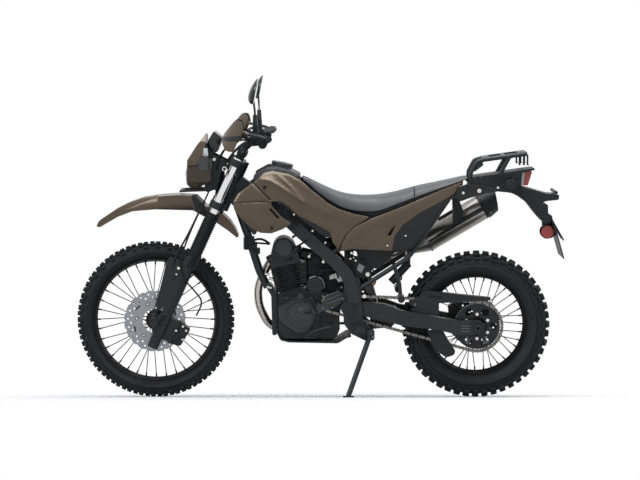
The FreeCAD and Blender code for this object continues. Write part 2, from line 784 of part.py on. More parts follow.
def swingarm():
    """Two box arms from the pivot tube, with a bridge ahead of the tyre."""
    axle = rear_axle_centre()
    solid = [drum(pivot_x, pivot_z, 27, -89, 89)]
    for side in (1, -1):
        outline = [(pivot_x - 26, pivot_z + 10, 20), (180, 426, 20), (289, 415, 60), (357, 389, 60), (601, 344, 30),
                   (695, 344, 10), (705, 330, 10), (705, 285, 10), (600, 284, 10), (510, 306, 60), (367, 322, 60),
                   (306, 338, 60), (180, 366, 20), (pivot_x - 20, pivot_z - 20, 20)]
        plate = side_plate(outline, -125, 125)
        plan = Part.Face(Part.makePolygon([Vec(x, side * y, 0) for x, y in (
            (90, 62), (136, 62), (400, 85), (760, 85), (760, 111), (400, 111), (136, 89), (90, 89), (90, 62))]))
        solid.append(plate.common(plan.extrude(Vec(0, 0, 900))))
    solid.append(side_plate([(284, 400, 10), (346, 384, 10), (350, 340, 10), (290, 348, 10)], -90, 90))
    for side in (1, -1):
        solid.append(side_plate([(270, 360), (345, 352), (330, 312, 12), (296, 312, 12)], side * 34 - 5, side * 34 + 5))
    arm = joined(*solid)
    cutters = [drum(axle.x, axle.z, axle_diameter / 2 + seat_gap, -200, 200), drum(pivot_x, pivot_z, 8.2, -200, 200)]
    return arm.cut(cutters)


def rear_axle():
    """The spindle through both arms, its nut and a chain adjuster plate each side."""
    axle = rear_axle_centre()
    x = axle.x
    z = axle.z
    pin = drum(x, z, axle_diameter / 2, -122, 122)
    ends = [drum(x, z, 17, -130, -118), drum(x, z, 15, 118, 130)]
    plates = [side_plate(shifted([(-30, -20, 4), (30, -20, 4), (30, 20, 4), (-30, 20, 4)], x, z), y, y + 6.8)
              for y in (-118, 111.2)]
    return joined(pin, *(ends + plates)).cut(drum(x, z, axle_bore / 2, -300, 300))


def swingarm_bolt():
    return joined(drum(pivot_x, pivot_z, 8, -112, 112), drum(pivot_x, pivot_z, 14, -118, -108.2),
                  drum(pivot_x, pivot_z, 14, 108.2, 118))


def engine_case():
    """The crankcase with its bores closed, the gearbox behind it and the starter on top."""
    outline = [(-162, 300, 20), (-148, 262, 20), (84, 259, 30), (102, 300, 30), (100, 380, 30), (94, 452, 30),
               (-36, 464, 20), (-60, 482, 8), (-158, 452, 8), (-164, 400, 20)]
    core = side_plate(outline, -56, 74)
    wide = side_plate([(-162, 300, 20), (-148, 262, 20), (20, 259, 30), (60, 300, 30), (62, 440, 20), (-150, 446, 20)],
                      -56, 92)
    left = side_plate([(-160, 300, 20), (-146, 264, 20), (10, 262, 30), (16, 300, 30), (14, 372, 20), (-10, 440, 20),
                       (-150, 446, 20)], -78, -50)
    starter = Part.makeCylinder(32, 96, Vec(-3, -60, 491), across)
    starter_end = Part.makeCylinder(36, 10, Vec(-3, -70, 491), across)
    shaft = drum(drive_x, drive_z, 14, -84, -50)
    sprocket = drum(drive_x, drive_z, drive_root(), chain_y - sprocket_thickness / 2, chain_y + sprocket_thickness / 2)
    case = joined(core, wide, left, starter, starter_end, shaft, sprocket)
    return case.cut([drum(pivot_x, pivot_z, 31, -95, 95), exhaust_route(pipe_diameter + 6)])


def engine_covers():
    """The generator and sprocket covers on the left and the clutch cover on the right."""
    generator = [(-158, 402, 14), (-110, 425, 30), (-66, 439, 50), (-22, 415, 30), (2, 381, 30), (-12, 340, 20),
                 (-36, 300, 20), (-80, 296, 20), (-127, 327, 20), (-155, 357, 14)]
    left = side_plate(generator, -122, -78)
    dome = drum(crank_x, crank_z, 52, -136, -120)
    plug = drum(crank_x, crank_z, 18.7, -140, -134)
    top_plug = drum(crank_x, crank_z + 52, 13.6, -127, -120)
    leaf = [(22, 380, 8), (24, 414, 12), (48, 447, 14), (94, 468, 10), (121, 456, 8), (106, 417, 20), (74, 396, 10)]
    guard = side_plate(leaf, -94, -87)
    foot = side_plate([(4, 372, 3), (18, 372, 3), (18, 414, 3), (4, 424, 3)], -94, -78)
    foot = foot.fuse(side_plate([(4, 378, 3), (30, 382, 3), (30, 410, 3), (4, 420, 3)], -94, -87))
    left_side = joined(left, dome, plug, top_plug)
    right = drum(-20, 374, 80, 92, 128)
    right_dome = drum(-20, 374, 62, 128, 140)
    water = side_plate([(-150, 330, 20), (-120, 296, 20), (-60, 296, 20), (-60, 420, 20), (-130, 420, 20)], 92, 116)
    right_side = joined(right, right_dome, water)
    return Part.makeCompound([left_side, joined(guard, foot), right_side])


def cylinder():
    """The finned barrel and head, tipped forward, with the cam cover on top."""
    base = Vec(-103, 0, 468)
    core = Part.makeCylinder(47, 110, Vec(0, 0, 0))
    solids = [core]
    for number in range(fin_count):
        z = 4 + number * fin_pitch
        rear = 70 + 0.2 * z
        solids.append(side_plate([(-67, z), (rear, z), (rear, z + fin_thickness), (-67, z + fin_thickness)], -64, 64))
    head = side_plate([(-62, 108, 6), (66, 108, 6), (62, 150, 10), (50, 206, 20), (-30, 212, 20), (-60, 150, 10)],
                      -62, 62)
    tunnel = drum(6, 180, 46, -70, 66)
    cap = drum(6, 180, 36, -76, -68)
    spout = Part.makeCylinder(24, 40, Vec(40, 0, 150), Vec(1, 0, 0))
    port = Part.makeCylinder(21, 22, Vec(-52, 34, 140), Vec(-1, 0, -0.35))
    solids += [head, tunnel, cap, spout, port]
    block = joined(*solids)
    block.rotate(middle, across, -cylinder_tilt)
    block.translate(base)
    return block


def intake():
    """The throttle body behind the head and the air box that feeds it."""
    box_side = [(146, 627, 16), (170, 640, 20), (186, 560, 10), (272, 560, 20), (330, 627, 30), (404, 640, 30),
                (404, 748, 30), (250, 704, 30), (146, 652, 16)]
    chest = side_plate(box_side, -64, 64)
    duct = bar(Vec(-6, 0, 652), Vec(150, 0, 672), 26)
    body = drum(22, 656, 34, -40, 40)
    shock_room = bar(shock_low, shock_top + (shock_top - shock_low).normalize() * 26, 40)
    return joined(chest, duct, body).cut(shock_room)


def drive_root():
    pitch_radius = chain_pitch / (2 * math.sin(math.pi / drive_teeth))
    return (pitch_radius - chain_plate_height / 2) * math.cos(math.pi / drive_teeth) - seat_gap


def chain_joints():
    """The chain's pins in order round both sprockets, each with its way out of the loop."""
    front = Vec(drive_x, 0, drive_z)
    back = rear_axle_centre()
    small = chain_pitch / (2 * math.sin(math.pi / drive_teeth))
    large = chain_pitch / (2 * math.sin(math.pi / driven_teeth))
    apart = front.distanceToPoint(back)
    tilt = math.atan2(back.z - front.z, back.x - front.x)
    wrap = math.acos((small - large) / apart)
    run = math.sqrt(apart ** 2 - (large - small) ** 2)
    round_back = 2 * large * wrap
    loop = 2 * run + round_back + 2 * small * (math.pi - wrap)
    count = 2 * round(loop / chain_pitch / 2)
    joints = []
    for number in range(count):
        gone = loop * number / count
        if gone < run:
            centre, radius, angle, along = front, small, tilt + wrap, gone
        elif gone < run + round_back:
            centre, radius, angle, along = back, large, tilt + wrap - (gone - run) / large, 0
        elif gone < 2 * run + round_back:
            centre, radius, angle, along = back, large, tilt - wrap, gone - run - round_back
        else:
            centre, radius, angle, along = front, small, tilt - wrap - (gone - 2 * run - round_back) / small, 0
        out = Vec(math.cos(angle), 0, math.sin(angle))
        way = Vec(math.sin(angle), 0, -math.cos(angle))
        joints.append((centre + out * radius + way * along, out))
    return joints


def chain():
    """The drive chain, closed round both sprockets, of wide outer and narrow inner links."""
    joints = chain_joints()
    faces = []

    def flat(*corners):
        faces.append(Part.Face(Part.makePolygon(list(corners) + [corners[0]])))

    for number in range(len(joints)):
        start, out = joints[number - 1]
        end, end_out = joints[number]
        rise = chain_plate_height / 2
        wide = number % 2
        half = chain_width / 2 if wide else chain_inner_width / 2
        ends = [(start + out * rise, start - out * rise), (end + end_out * rise, end - end_out * rise)]
        left = across * (chain_y - half)
        right = across * (chain_y + half)
        for row in (0, 1):
            flat(ends[0][row] + left, ends[0][row] + right, ends[1][row] + right, ends[1][row] + left)
        for side in (left, right):
            flat(ends[0][0] + side, ends[1][0] + side, ends[1][1] + side, ends[0][1] + side)
        for side in (-1, 1):
            near = across * (chain_y + side * chain_inner_width / 2)
            far = across * (chain_y + side * chain_width / 2)
            flat(ends[0][0] + near, ends[0][0] + far, ends[0][1] + far, ends[0][1] + near)
    return Part.makeSolid(Part.makeShell(faces))


def chain_guard():
    upper = [(386, 415, 8), (425, 436, 10), (469, 468, 10), (742, 439, 10), (733, 428, 4), (479, 415, 20), (425, 395, 8)]
    cover = side_plate(upper, -94, -84)
    shelf = side_plate([(400, 388, 4), (425, 405, 4), (479, 420, 4), (520, 424, 4), (520, 364, 4), (420, 372, 4)],
                       -94, -86)
    lip = side_plate([(440, 452, 4), (469, 468, 6), (738, 440, 6), (738, 436), (469, 463), (444, 446)], -94, -59)
    guide = side_plate([(474, 300, 6), (498, 222, 12), (552, 184, 20), (600, 200, 20), (560, 260, 20), (530, 314, 6)],
                       -92, -86)
    return Part.makeCompound([joined(cover, shelf, lip), guide])


def skid_plate():
    under = [(-166, 290, 8), (-150, 258, 14), (-114, 249, 14), (93, 245, 20), (131, 268, 14), (150, 272, 4)]
    upper = [(148, 277, 2), (128, 274, 10), (92, 252, 14), (-112, 255, 8), (-144, 263, 8), (-160, 293, 2)]
    return side_plate(under + upper, -92, 92)


def foot_pegs():
    """The rider's and the passenger's rests, on brackets outside the frame."""
    start = pivot_plate_y + pivot_plate_thickness
    mount = side_plate([(152, 302, 8), (152, 330, 8), (214, 330, 8), (214, 302, 8)], start, start + 18)
    peg = side_plate([(160, 306, 6), (160, 326, 6), (206, 326, 6), (206, 306, 6)], start + 16, start + 104)
    rider = joined(mount, peg)
    hanger = rod([Vec(330, 104, 580), Vec(352, 110, 500), Vec(356, 118, 452)], 16, 60)
    rest = bar(Vec(356, 112, 448), Vec(356, 200, 448), 15)
    passenger = joined(hanger, rest)
    return Part.makeCompound([rider, mirrored(rider), passenger, mirrored(passenger)])


def foot_pedals():
    """The shift lever on the left and the brake pedal on the right."""
    shift = joined(
        rod([Vec(63, -128, 323), Vec(0, -132, 306), Vec(-39, -134, 289)], 10, 60),
        bar(Vec(-39, -128, 289), Vec(-39, -168, 289), 8),
        bar(Vec(63, -134, 323), Vec(63, -56.2, 323), 6),
    )
    brake = joined(
        rod([Vec(150, 126, 300), Vec(60, 152, 292), Vec(-50, 154, 292)], 12, 60),
        bar(Vec(-50, 140, 294), Vec(-50, 176, 294), 10),
        bar(Vec(150, 112, 300), Vec(150, 132, 300), 11),
    )
    return Part.makeCompound([shift, brake])


def exhaust_route(diameter):
    points = [Vec(-190, 34, 586), Vec(-214, 42, 548), Vec(-249, 46, 470), Vec(-246, 50, 390), Vec(-204, 70, 300),
              Vec(-130, 118, 268), Vec(-20, 127, 266), Vec(58, 122, 284), Vec(92, 106, 350), Vec(90, 112, 430),
              Vec(112, 147, 506), Vec(200, 150, 550), Vec(300, 148, 574),
              Vec(400, muffler_y - 6, 611)]
    return rod(points, diameter)


def exhaust_pipe():
    """The header from the head's port, down the front and back along the right."""
    return exhaust_route(pipe_diameter)


def muffler():
    """The silencer on the right: an inlet cone, a barrel and a dark end cap."""
    turn = math.radians(30.7)
    along = Vec(math.cos(turn), 0, math.sin(turn))
    start = Vec(479, muffler_y, 658)
    r = muffler_diameter / 2
    body = Part.makeCylinder(r, 275, start, along)
    cone = Part.makeCone(pipe_diameter / 2 + 2, r, 90, start - along * 90, along)
    cap = Part.makeCone(r + 1, r * 0.82, 55, start + along * 275, along)
    outlet = Part.makeCylinder(16, 14, start + along * 326, along)
    bore = Part.makeCylinder(12.5, 60, start + along * 281, along)
    tube = Part.makeCylinder(pipe_diameter / 2 + 2, 34, start - along * 122, along)
    hanger = side_plate([(586, 834, 6), (612, 846, 6), (632, 790, 10), (622, 740, 8), (590, 728, 8)],
                        74, muffler_y - r + 14)
    tab = side_plate([(572, 866, 6), (600, 878, 6), (614, 846, 6), (586, 832, 6)], 62, 80)
    return joined(body, cone, cap, outlet, tube, hanger, tab).cut(bore)


# Bodywork
def skin(inset):
    """The outer surface that the tank panels and side covers share."""
    stations = [(-372, 196), (-300, 198), (-220, 184), (-140, 164), (-40, 146), (60, 134), (160, 126), (260, 122),
                (360, 120), (460, 114), (560, 102), (660, 84)]
    shape = [(1004, 0.60), (940, 0.80), (880, 0.92), (800, 1.0), (720, 1.0), (650, 0.98), (570, 0.92)]
    rings = [smooth_section(x, [(width * share - inset, z) for z, share in shape]) for x, width in stations]
    return Part.makeLoft(rings, True, False)


def shroud_outline():
    panel = [(-343, 854, 8), (-322, 889, 12), (-258, 934, 20), (-216, 970, 20), (-184, 978, 20), (-110, 964, 60),
             (-57, 933, 60), (-4, 887, 60), (49, 845, 60), (91, 821, 60), (158, 798, 60), (228, 785, 4),
             (160, 745, 30), (123, 707, 30), (103, 669, 20), (95, 645, 6), (69, 683, 20), (60, 720, 20),
             (-4, 758, 20), (-68, 789, 30), (-111, 829, 20), (-143, 852, 10), (-180, 854, 3)]
    wing = [(-188, 849, 3), (-179, 831, 6), (-142, 789, 20), (-98, 760, 6), (-142, 736, 20), (-185, 721, 20),
            (-232, 725, 30), (-269, 746, 20), (-317, 794, 20), (-340, 826, 8)]
    return panel + wing


def shrouds():
    """The tank's side panels with their forward wings, one moulding each side."""
    wall = skin(0).cut(skin(5))
    cut = side_plate(shroud_outline(), -260, -30)
    left = wall.common(cut)
    slot = side_plate([(-196, 822, 3), (-186, 827, 3), (-151, 786, 3), (-157, 779, 3)], -260, -30)
    seams = [side_plate(line, -260, -30) for line in (
        [(-262, 928), (-258, 931), (-186, 861), (-190, 858)],
        [(-300, 851), (-200, 853), (-200, 856), (-300, 854)])]
    return both_sides(left.cut([slot] + seams)).cut(steering_rooms())


def side_panels():
    """The covers under the seat, brown above and black behind."""
    wall = skin(2).cut(skin(6))
    outline = [(103, 639, 8), (108, 673, 12), (128, 708, 20), (162, 742, 30), (229, 777, 30), (337, 818, 60),
               (448, 864, 60), (544, 905, 40), (611, 935, 4), (618, 926, 4), (586, 886, 20), (559, 851, 20),
               (503, 781, 60), (449, 704, 60), (407, 652, 14), (366, 641, 10), (317, 641, 10), (152, 650, 10)]
    left = wall.common(side_plate(outline, -260, -30))
    slot = side_plate([(300, 709, 2), (325, 745, 2), (333, 745, 2), (313, 705, 2)], -260, -30)
    bosses = [bar(Vec(340, -84, 774), Vec(340, -118, 774), 8), bar(Vec(530, -68, 851), Vec(530, -98, 851), 7)]
    return both_sides(joined(left.cut(slot), *bosses))


def fuel_tank():
    """The tank behind its panels, with a recess over the spars."""
    outline = [(-246, 908, 10), (-250, 930, 10), (-204, 962, 14), (-104, 946, 20), (0, 866, 30), (93, 802, 30),
               (190, 762, 10), (120, 700, 20), (40, 700, 20), (-56, 774, 20), (-150, 850, 20)]
    body = side_plate(outline, -200, 200)
    return body.common(skin(6)).cut(steering_rooms())


def steering_rooms():
    """What the clamps and the fork tubes sweep from lock to lock, with room to spare."""
    reach = math.hypot(leg_half_gap, clamp_offset) + fork_tube_diameter / 2 + steering_clearance
    low = fork_head() - clamp_thickness / 2 - steering_clearance
    rooms = [Part.makeCylinder(reach + 11, 90, Vec(0, 0, low)), Part.makeCylinder(reach, 150, Vec(0, 0, low - 140))]
    return [on_fork(room) for room in rooms]


def tank_cover():
    """The black cover over the front of the tank, with the filler cap through it."""
    outline = [(-262, 944, 6), (-258, 962, 8), (-204, 993, 20), (-170, 992, 20), (-104, 975, 20), (-66, 956, 6),
               (-66, 926, 2), (-104, 947, 20), (-204, 963, 14), (-250, 931, 4)]
    body = side_plate(outline, -200, 200).common(skin(6))
    cap = Part.makeCylinder(45, 26, Vec(-146, 0, 979), Vec(0.2, 0, 1))
    return joined(body, cap).cut(steering_rooms())


def seat():
    """A long stepped cushion, narrow at the tank and wide under the passenger."""
    rows = [(-60, 30, 952, 930), (20, 58, 915, 862), (100, 80, 881, 808), (180, 99, 867, 788), (260, 112, 868, 790),
            (340, 116, 881, 824), (420, 110, 903, 856), (500, 98, 920, 888), (575, 84, 936, 916), (640, 66, 950, 937)]
    rings = []
    for x, width, top, bottom in rows:
        z = top - bottom
        rings.append(smooth_section(x, [
            (width * 0.55, top), (width * 0.86, top - z * 0.08), (width, top - z * 0.4),
            (width * 0.98, bottom + z * 0.15), (width * 0.9, bottom)]))
    return Part.makeLoft(rings, True, False)


def rear_fender():
    """The tail: a blade behind the seat, its underside over the tyre, and the plate holder."""
    blade = side_plate([(644, 908, 8), (652, 940, 8), (668, 949, 20), (921, 986, 3), (921, 977, 3), (867, 968, 4),
                        (862, 900, 8), (848, 876, 10), (806, 884, 20), (763, 888, 20), (700, 878, 10),
                        (650, 880, 6)], -80, 80)
    under = side_plate([(758, 894, 4), (806, 888, 10), (848, 869, 20), (891, 837, 30), (926, 791, 20),
                        (951, 763, 10), (976, 749, 6), (1001, 763, 6), (997, 784, 6), (981, 792, 4), (979, 830, 4),
                        (950, 838, 6), (975, 846, 6), (1024, 851, 5), (1027, 872, 5), (975, 877, 8),
                        (904, 898, 8), (858, 908, 4)], -60, 60)
    stem = side_plate([(960, 756, 4), (1000, 764, 4), (1020, 700, 4), (1000, 684, 10), (966, 690, 10)], -14, 14)
    plate = side_plate([(996, 764, 2), (1000, 766, 2), (tail_reach, 606, 2), (tail_reach - 4, 604, 2)], -92, 92)
    brace = side_plate([(986, 782, 1), (990, 784, 1), (1050, 680, 1), (1046, 678, 1)], -60, 60)
    plan = Part.Face(Part.makePolygon([Vec(x, y, 0) for x, y in (
        (600, -66), (700, -78), (880, -68), (940, -54), (1100, -50),
        (1100, 50), (940, 54), (880, 68), (700, 78), (600, 66), (600, -66))]))
    tail = joined(blade, under).common(plan.extrude(Vec(0, 0, 1200)))
    return joined(tail, stem, plate, brace)


def rear_lamps():
    """The tail light, two signals on stalks and the red reflectors."""
    light = side_plate([(862, 912, 3), (894, 912, 3), (912, 973, 3), (868, 964, 3)], -48, 48)
    lamps = [light]
    for side in (1, -1):
        stalk = bar(Vec(813, side * 60, 922), Vec(813, side * 106, 922), 8)
        body = side_plate([(794, 904, 10), (794, 938, 12), (832, 942, 10), (834, 906, 10)],
                          min(side * 104, side * 158), max(side * 104, side * 158))
        lamps.append(joined(stalk, body))
        lamps.append(drum(982, 712, 26, min(side * 14.2, side * 22), max(side * 14.2, side * 22)))
    return Part.makeCompound(lamps)


def rear_rack():
    """A tube carrier over the tail on two pairs of legs, with strap hooks at its rear end."""
    parts = []
    for side in (1, -1):
        y = side * 62
        parts.append(rod([Vec(648, y, 920), Vec(652, y, 966), Vec(676, y, 1012), Vec(707, y, 1021),
                          Vec(888, y, 1046)], 18, 22))
        parts.append(bar(Vec(771, y, 955), Vec(814, y, 1034), 9))
        parts.append(side_plate([(662, 966, 4), (672, 1006, 4), (700, 1016, 4), (704, 998, 6)], y - 4, y + 4))
        for x in (856, 874, 890):
            parts.append(side_plate(shifted([(-4, 44, 1), (-4, 0, 2), (6, 0, 2), (3, 8, 1), (3, 44, 1)], x, 998),
                                    y - 4, y + 4))
    deck = side_plate([(700, rack_height(700) - 9, 4), (700, rack_height(700), 4), (888, rack_height(888), 4),
                       (888, rack_height(888) - 9, 4)], -62, 62)
    windows = [box((730, -44, 980), (780, 44, 1080)), box((796, -44, 980), (850, 44, 1080))]
    return joined(deck.cut(windows), *parts)


def rack_height(x):
    """The height of the carrier's flat top, which rises to the rear."""
    return 1029.5 + (x - 700) * rack_slope


def rear_shock():
    """The spring unit ahead of the tyre and the rocker that drives it."""
    top = shock_top
    low = shock_low
    along = (low - top).normalize()
    body = bar(top, low, 14)
    coil = bar(top + along * 40, top + along * 212, 36)
    eye = drum(top.x, top.z, 17, -25, 25)
    bolt = drum(top.x, top.z, 8, -44, 44)
    eye_low = drum(low.x, low.z, 17, -29, 29)
    cheek = side_plate([(230, 350, 12), (264, 350, 12), (330, 330, 10), (326, 306, 10), (150, 286, 10), (150, 306, 8),
                        (232, 322, 10)], -28, -18)
    tie = drum(158, 296, 7, -pivot_plate_y, pivot_plate_y)
    tie_rear = drum(316, 320, 7, -28, 28)
    return joined(body, coil, eye, bolt, eye_low, cheek, mirrored(cheek), tie, tie_rear)


def canister():
    """The vapour canister, hung by its bracket from the tie between the lower rails."""
    body = bar(Vec(321, 0, 495), Vec(395, 0, 576), 17)
    bracket = side_plate([(380, 612, 4), (402, 612, 4), (402, 566, 4), (378, 562, 4)], -9, 9)
    return joined(body, bracket)


def rear_caliper():
    axle = rear_axle_centre()
    half = disc_thickness / 2 + disc_clearance
    body = side_plate(shifted([(-108, 20, 10), (-60, 62, 14), (-74, 98, 14), (-116, 70, 14)], axle.x, axle.z),
                      rear_disc_y - 22, rear_disc_y + 20)
    slot = drum(axle.x, axle.z, rear_disc_radius + disc_clearance, rear_disc_y - half, rear_disc_y + half)
    arm = side_plate(shifted([(-20, -20, 10), (-112, 10, 10), (-112, 60, 10), (0, 24, 10)], axle.x, axle.z),
                     rear_disc_y + 14.2, rear_disc_y + 18.8)
    arm = arm.cut(drum(axle.x, axle.z, axle_diameter / 2 + seat_gap, -200, 200))
    return joined(body.cut(slot), arm)


def rear_sprocket():
    axle = rear_axle_centre()
    large = chain_pitch / (2 * math.sin(math.pi / driven_teeth))
    outer = large - chain_plate_height / 2 - 1.5
    y = chain_y
    ring = drum(0, 0, outer, y - sprocket_thickness / 2, y + sprocket_thickness / 2)
    cutters = [drum(0, 0, sprocket_inner, y - 9, y + 9)]
    for number in range(6):
        turn = math.radians(number * 60)
        cutters.append(drum(68 * math.cos(turn), 68 * math.sin(turn), 17, y - 9, y + 9))
    ring = ring.cut(cutters)
    ring.translate(axle)
    return ring


def side_stand():
    """A leg that folds back about its bolt, with a flat foot on the floor."""
    turn = math.radians(lean)
    up = Vec(0, math.sin(turn), math.cos(turn))
    place, axis, down_way, fold_way = stand_frame()
    lift = contact_lift()
    length = (foot_thickness - 1 - lift - place.dot(up)) / down_way.dot(up)
    foot = place + down_way * length
    half = stand_eye_thickness / 2
    eye = bar(place - axis * half, place + axis * half, stand_eye)
    leg = bar(place + down_way * 4, foot, stand_diameter / 2)
    leg = leg.cut([bar(place - axis * 60, place - axis * half, 60), bar(place + axis * half, place + axis * 60, 17)])
    sole = foot - up * (foot.dot(up) + lift)
    pad = bar(sole, sole + up * foot_thickness, foot_radius)
    stand = joined(eye, leg, pad)
    return stand.cut(bar(place - axis * 40, place + axis * 40, stand_bolt / 2 + seat_gap))


nodes = {}


def build_wheels():
    axle = front_axle_centre()
    half = leg_half_gap - slider_diameter / 2 - bearing_gap
    front_tyre = tyre(front_radius, front_bead_radius, front_tyre_width, front_rim_width, front_crown,
                      front_lugs, front_lug_depth)
    front_tyre.translate(axle)
    nodes["front_tyre"] = front_tyre
    nodes["front_rim"] = wire_wheel(
        front_bead_radius, front_rim_width, 34, 30, -half, half, 3,
        [flange(front_disc_inner, front_disc_y, disc_thickness)], axle)
    nodes["front_disc"] = brake_disc(front_disc_radius, front_disc_inner, front_disc_y, 40, axle)
    rear = rear_axle_centre()
    rear_tyre = tyre(rear_radius, rear_bead_radius, rear_tyre_width, rear_rim_width, rear_crown,
                     rear_lugs, rear_lug_depth)
    rear_tyre.translate(rear)
    nodes["rear_tyre"] = rear_tyre
    flanges = [flange(rear_disc_inner, rear_disc_y, disc_thickness),
               flange(sprocket_inner, chain_y, sprocket_thickness)]
    nodes["rear_rim"] = wire_wheel(rear_bead_radius, rear_rim_width, 42, 34, -84, 79, 3, flanges, rear)
    nodes["rear_disc"] = brake_disc(rear_disc_radius, rear_disc_inner, rear_disc_y, 30, rear)
    nodes["rear_sprocket"] = rear_sprocket()


build_wheels()
nodes["fork_sliders"] = fork_sliders()
nodes["fork_gaiters"] = fork_gaiters()
nodes["fork_tubes"] = fork_tubes()
nodes["triple_clamps"] = triple_clamps()
nodes["front_axle"] = front_axle()
nodes["front_caliper"] = front_caliper()
nodes["front_fender"] = front_fender()
nodes["headlight_mask"] = headlight_mask()
nodes["headlight_lens"] = headlight_lens()
nodes["instrument"] = instrument()
nodes["lamp_stays"] = lamp_stays()
nodes["handlebar"] = handlebar()
nodes["hand_controls"] = hand_controls()
nodes["hand_guards"] = hand_guards()
nodes["mirrors"] = mirrors()
nodes["front_signals"] = front_signals()
nodes["brake_hose"] = brake_hose()
nodes["frame"] = frame()
nodes["subframe"] = subframe()
nodes["swingarm"] = swingarm()
nodes["swingarm_bolt"] = swingarm_bolt()
nodes["rear_axle"] = rear_axle()
nodes["engine_case"] = engine_case()
nodes["engine_covers"] = engine_covers()
nodes["cylinder"] = cylinder()
nodes["intake"] = intake()
nodes["chain"] = chain()
nodes["chain_guard"] = chain_guard()
nodes["skid_plate"] = skid_plate()
nodes["foot_pegs"] = foot_pegs()
nodes["foot_pedals"] = foot_pedals()
nodes["exhaust_pipe"] = exhaust_pipe()
nodes["muffler"] = muffler()
nodes["shrouds"] = shrouds()
nodes["side_panels"] = side_panels()
nodes["fuel_tank"] = fuel_tank()
nodes["tank_cover"] = tank_cover()
nodes["seat"] = seat()
nodes["rear_fender"] = rear_fender()
nodes["rear_lamps"] = rear_lamps()
nodes["rear_rack"] = rear_rack()
nodes["rear_shock"] = rear_shock()
nodes["canister"] = canister()
nodes["rear_caliper"] = rear_caliper()
nodes["side_stand"] = side_stand()


def relieve(name, *others):
    """Cuts a piece back where its neighbours sit in it."""
    nodes[name] = nodes[name].cut([nodes[other] for other in others])


relieve("front_caliper", "fork_sliders")
relieve("frame", "fuel_tank")
relieve("lamp_stays", "triple_clamps", "headlight_mask", "headlight_lens", "instrument")
relieve("hand_controls", "handlebar")
relieve("mirrors", "hand_controls")
relieve("hand_guards", "hand_controls", "handlebar")
relieve("front_signals", "headlight_mask")
relieve("cylinder", "engine_case")
relieve("exhaust_pipe", "cylinder")
relieve("muffler", "exhaust_pipe", "subframe")
relieve("skid_plate", "engine_case")
nodes["skid_plate"] = nodes["skid_plate"].cut(exhaust_route(pipe_diameter + 6))
relieve("subframe", "frame")
seat_room = nodes["seat"].copy()
seat_room.translate(Vec(0, 0, -cushion_gap))
for name in ("subframe", "fuel_tank", "side_panels"):
    nodes[name] = nodes[name].cut(seat_room)
relieve("rear_fender", "subframe")
relieve("side_panels", "subframe")
relieve("canister", "subframe")
relieve("foot_pegs", "frame", "subframe")
relieve("foot_pedals", "foot_pegs", "frame")
relieve("intake", "frame", "subframe", "cylinder", "rear_shock")
relieve("rear_rack", "rear_fender")
relieve("rear_lamps", "rear_fender")
relieve("chain_guard", "swingarm")
relieve("rear_shock", "swingarm")
relieve("rear_caliper", "swingarm")

# The machine as it parks: leaned on its stand, the origin on the floor below
# the middle of its length and of its handlebar
front_end = front_axle_centre().x - front_radius
bar_end = fork_point(bar_route(1)[4])
origin = Vec((front_end + tail_reach) / 2, -bar_end.z * math.sin(math.radians(lean)), -contact_lift())

os.makedirs("parts", exist_ok=True)
for name, shape in nodes.items():
    shape.rotate(middle, Vec(1, 0, 0), lean)
    shape.translate(middle - origin)
    shape.exportStep("parts/" + name + ".step")
    print(name, len(shape.Solids), "solids")
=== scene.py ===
import json
import math

import bmesh
import bpy
from mathutils import Matrix, Vector
from mathutils.kdtree import KDTree


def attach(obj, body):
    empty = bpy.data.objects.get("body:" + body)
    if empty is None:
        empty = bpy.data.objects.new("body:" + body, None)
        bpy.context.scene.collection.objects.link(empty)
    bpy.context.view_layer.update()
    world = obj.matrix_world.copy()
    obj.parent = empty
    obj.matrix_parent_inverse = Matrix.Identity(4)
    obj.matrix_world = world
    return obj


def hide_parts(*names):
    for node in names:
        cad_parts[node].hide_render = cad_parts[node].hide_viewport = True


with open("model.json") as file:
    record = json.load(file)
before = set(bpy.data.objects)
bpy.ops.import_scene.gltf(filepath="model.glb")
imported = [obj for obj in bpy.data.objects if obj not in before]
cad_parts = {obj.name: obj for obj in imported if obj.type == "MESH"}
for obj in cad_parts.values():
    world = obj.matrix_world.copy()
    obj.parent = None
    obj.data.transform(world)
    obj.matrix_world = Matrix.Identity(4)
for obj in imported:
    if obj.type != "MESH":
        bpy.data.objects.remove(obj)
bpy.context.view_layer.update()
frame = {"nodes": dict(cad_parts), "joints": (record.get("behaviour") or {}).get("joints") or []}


# Camera
# The photograph is a side view with a long lens. The machine leans towards the
# camera here, so the camera stands low and looks up at it, which brings the near
# and the far side level with each other as they are in the photograph.
camera_distance = 8.0
camera_height = 0.12
camera_side = 0.003
aim_depth = 0.07
aim_height = 0.665
view_width = 2.72
sensor = 36.0
aim_distance = math.hypot(camera_distance + aim_depth, aim_height - camera_height)
camera_data = bpy.data.cameras.new("camera")
camera_data.sensor_width = sensor
camera_data.lens = sensor * aim_distance / view_width
camera_data.clip_end = 100.0
camera = bpy.data.objects.new("camera", camera_data)
camera.location = (camera_side, -camera_distance, camera_height)
camera.rotation_euler = (math.pi / 2 + math.asin((aim_height - camera_height) / aim_distance), 0, 0)
bpy.context.scene.collection.objects.link(camera)
bpy.context.scene.camera = camera


# Floor and light
# A round sheet of white paper that fades out before its edge, so that the white
# room meets it without a line while it still takes the machine's soft shadow.

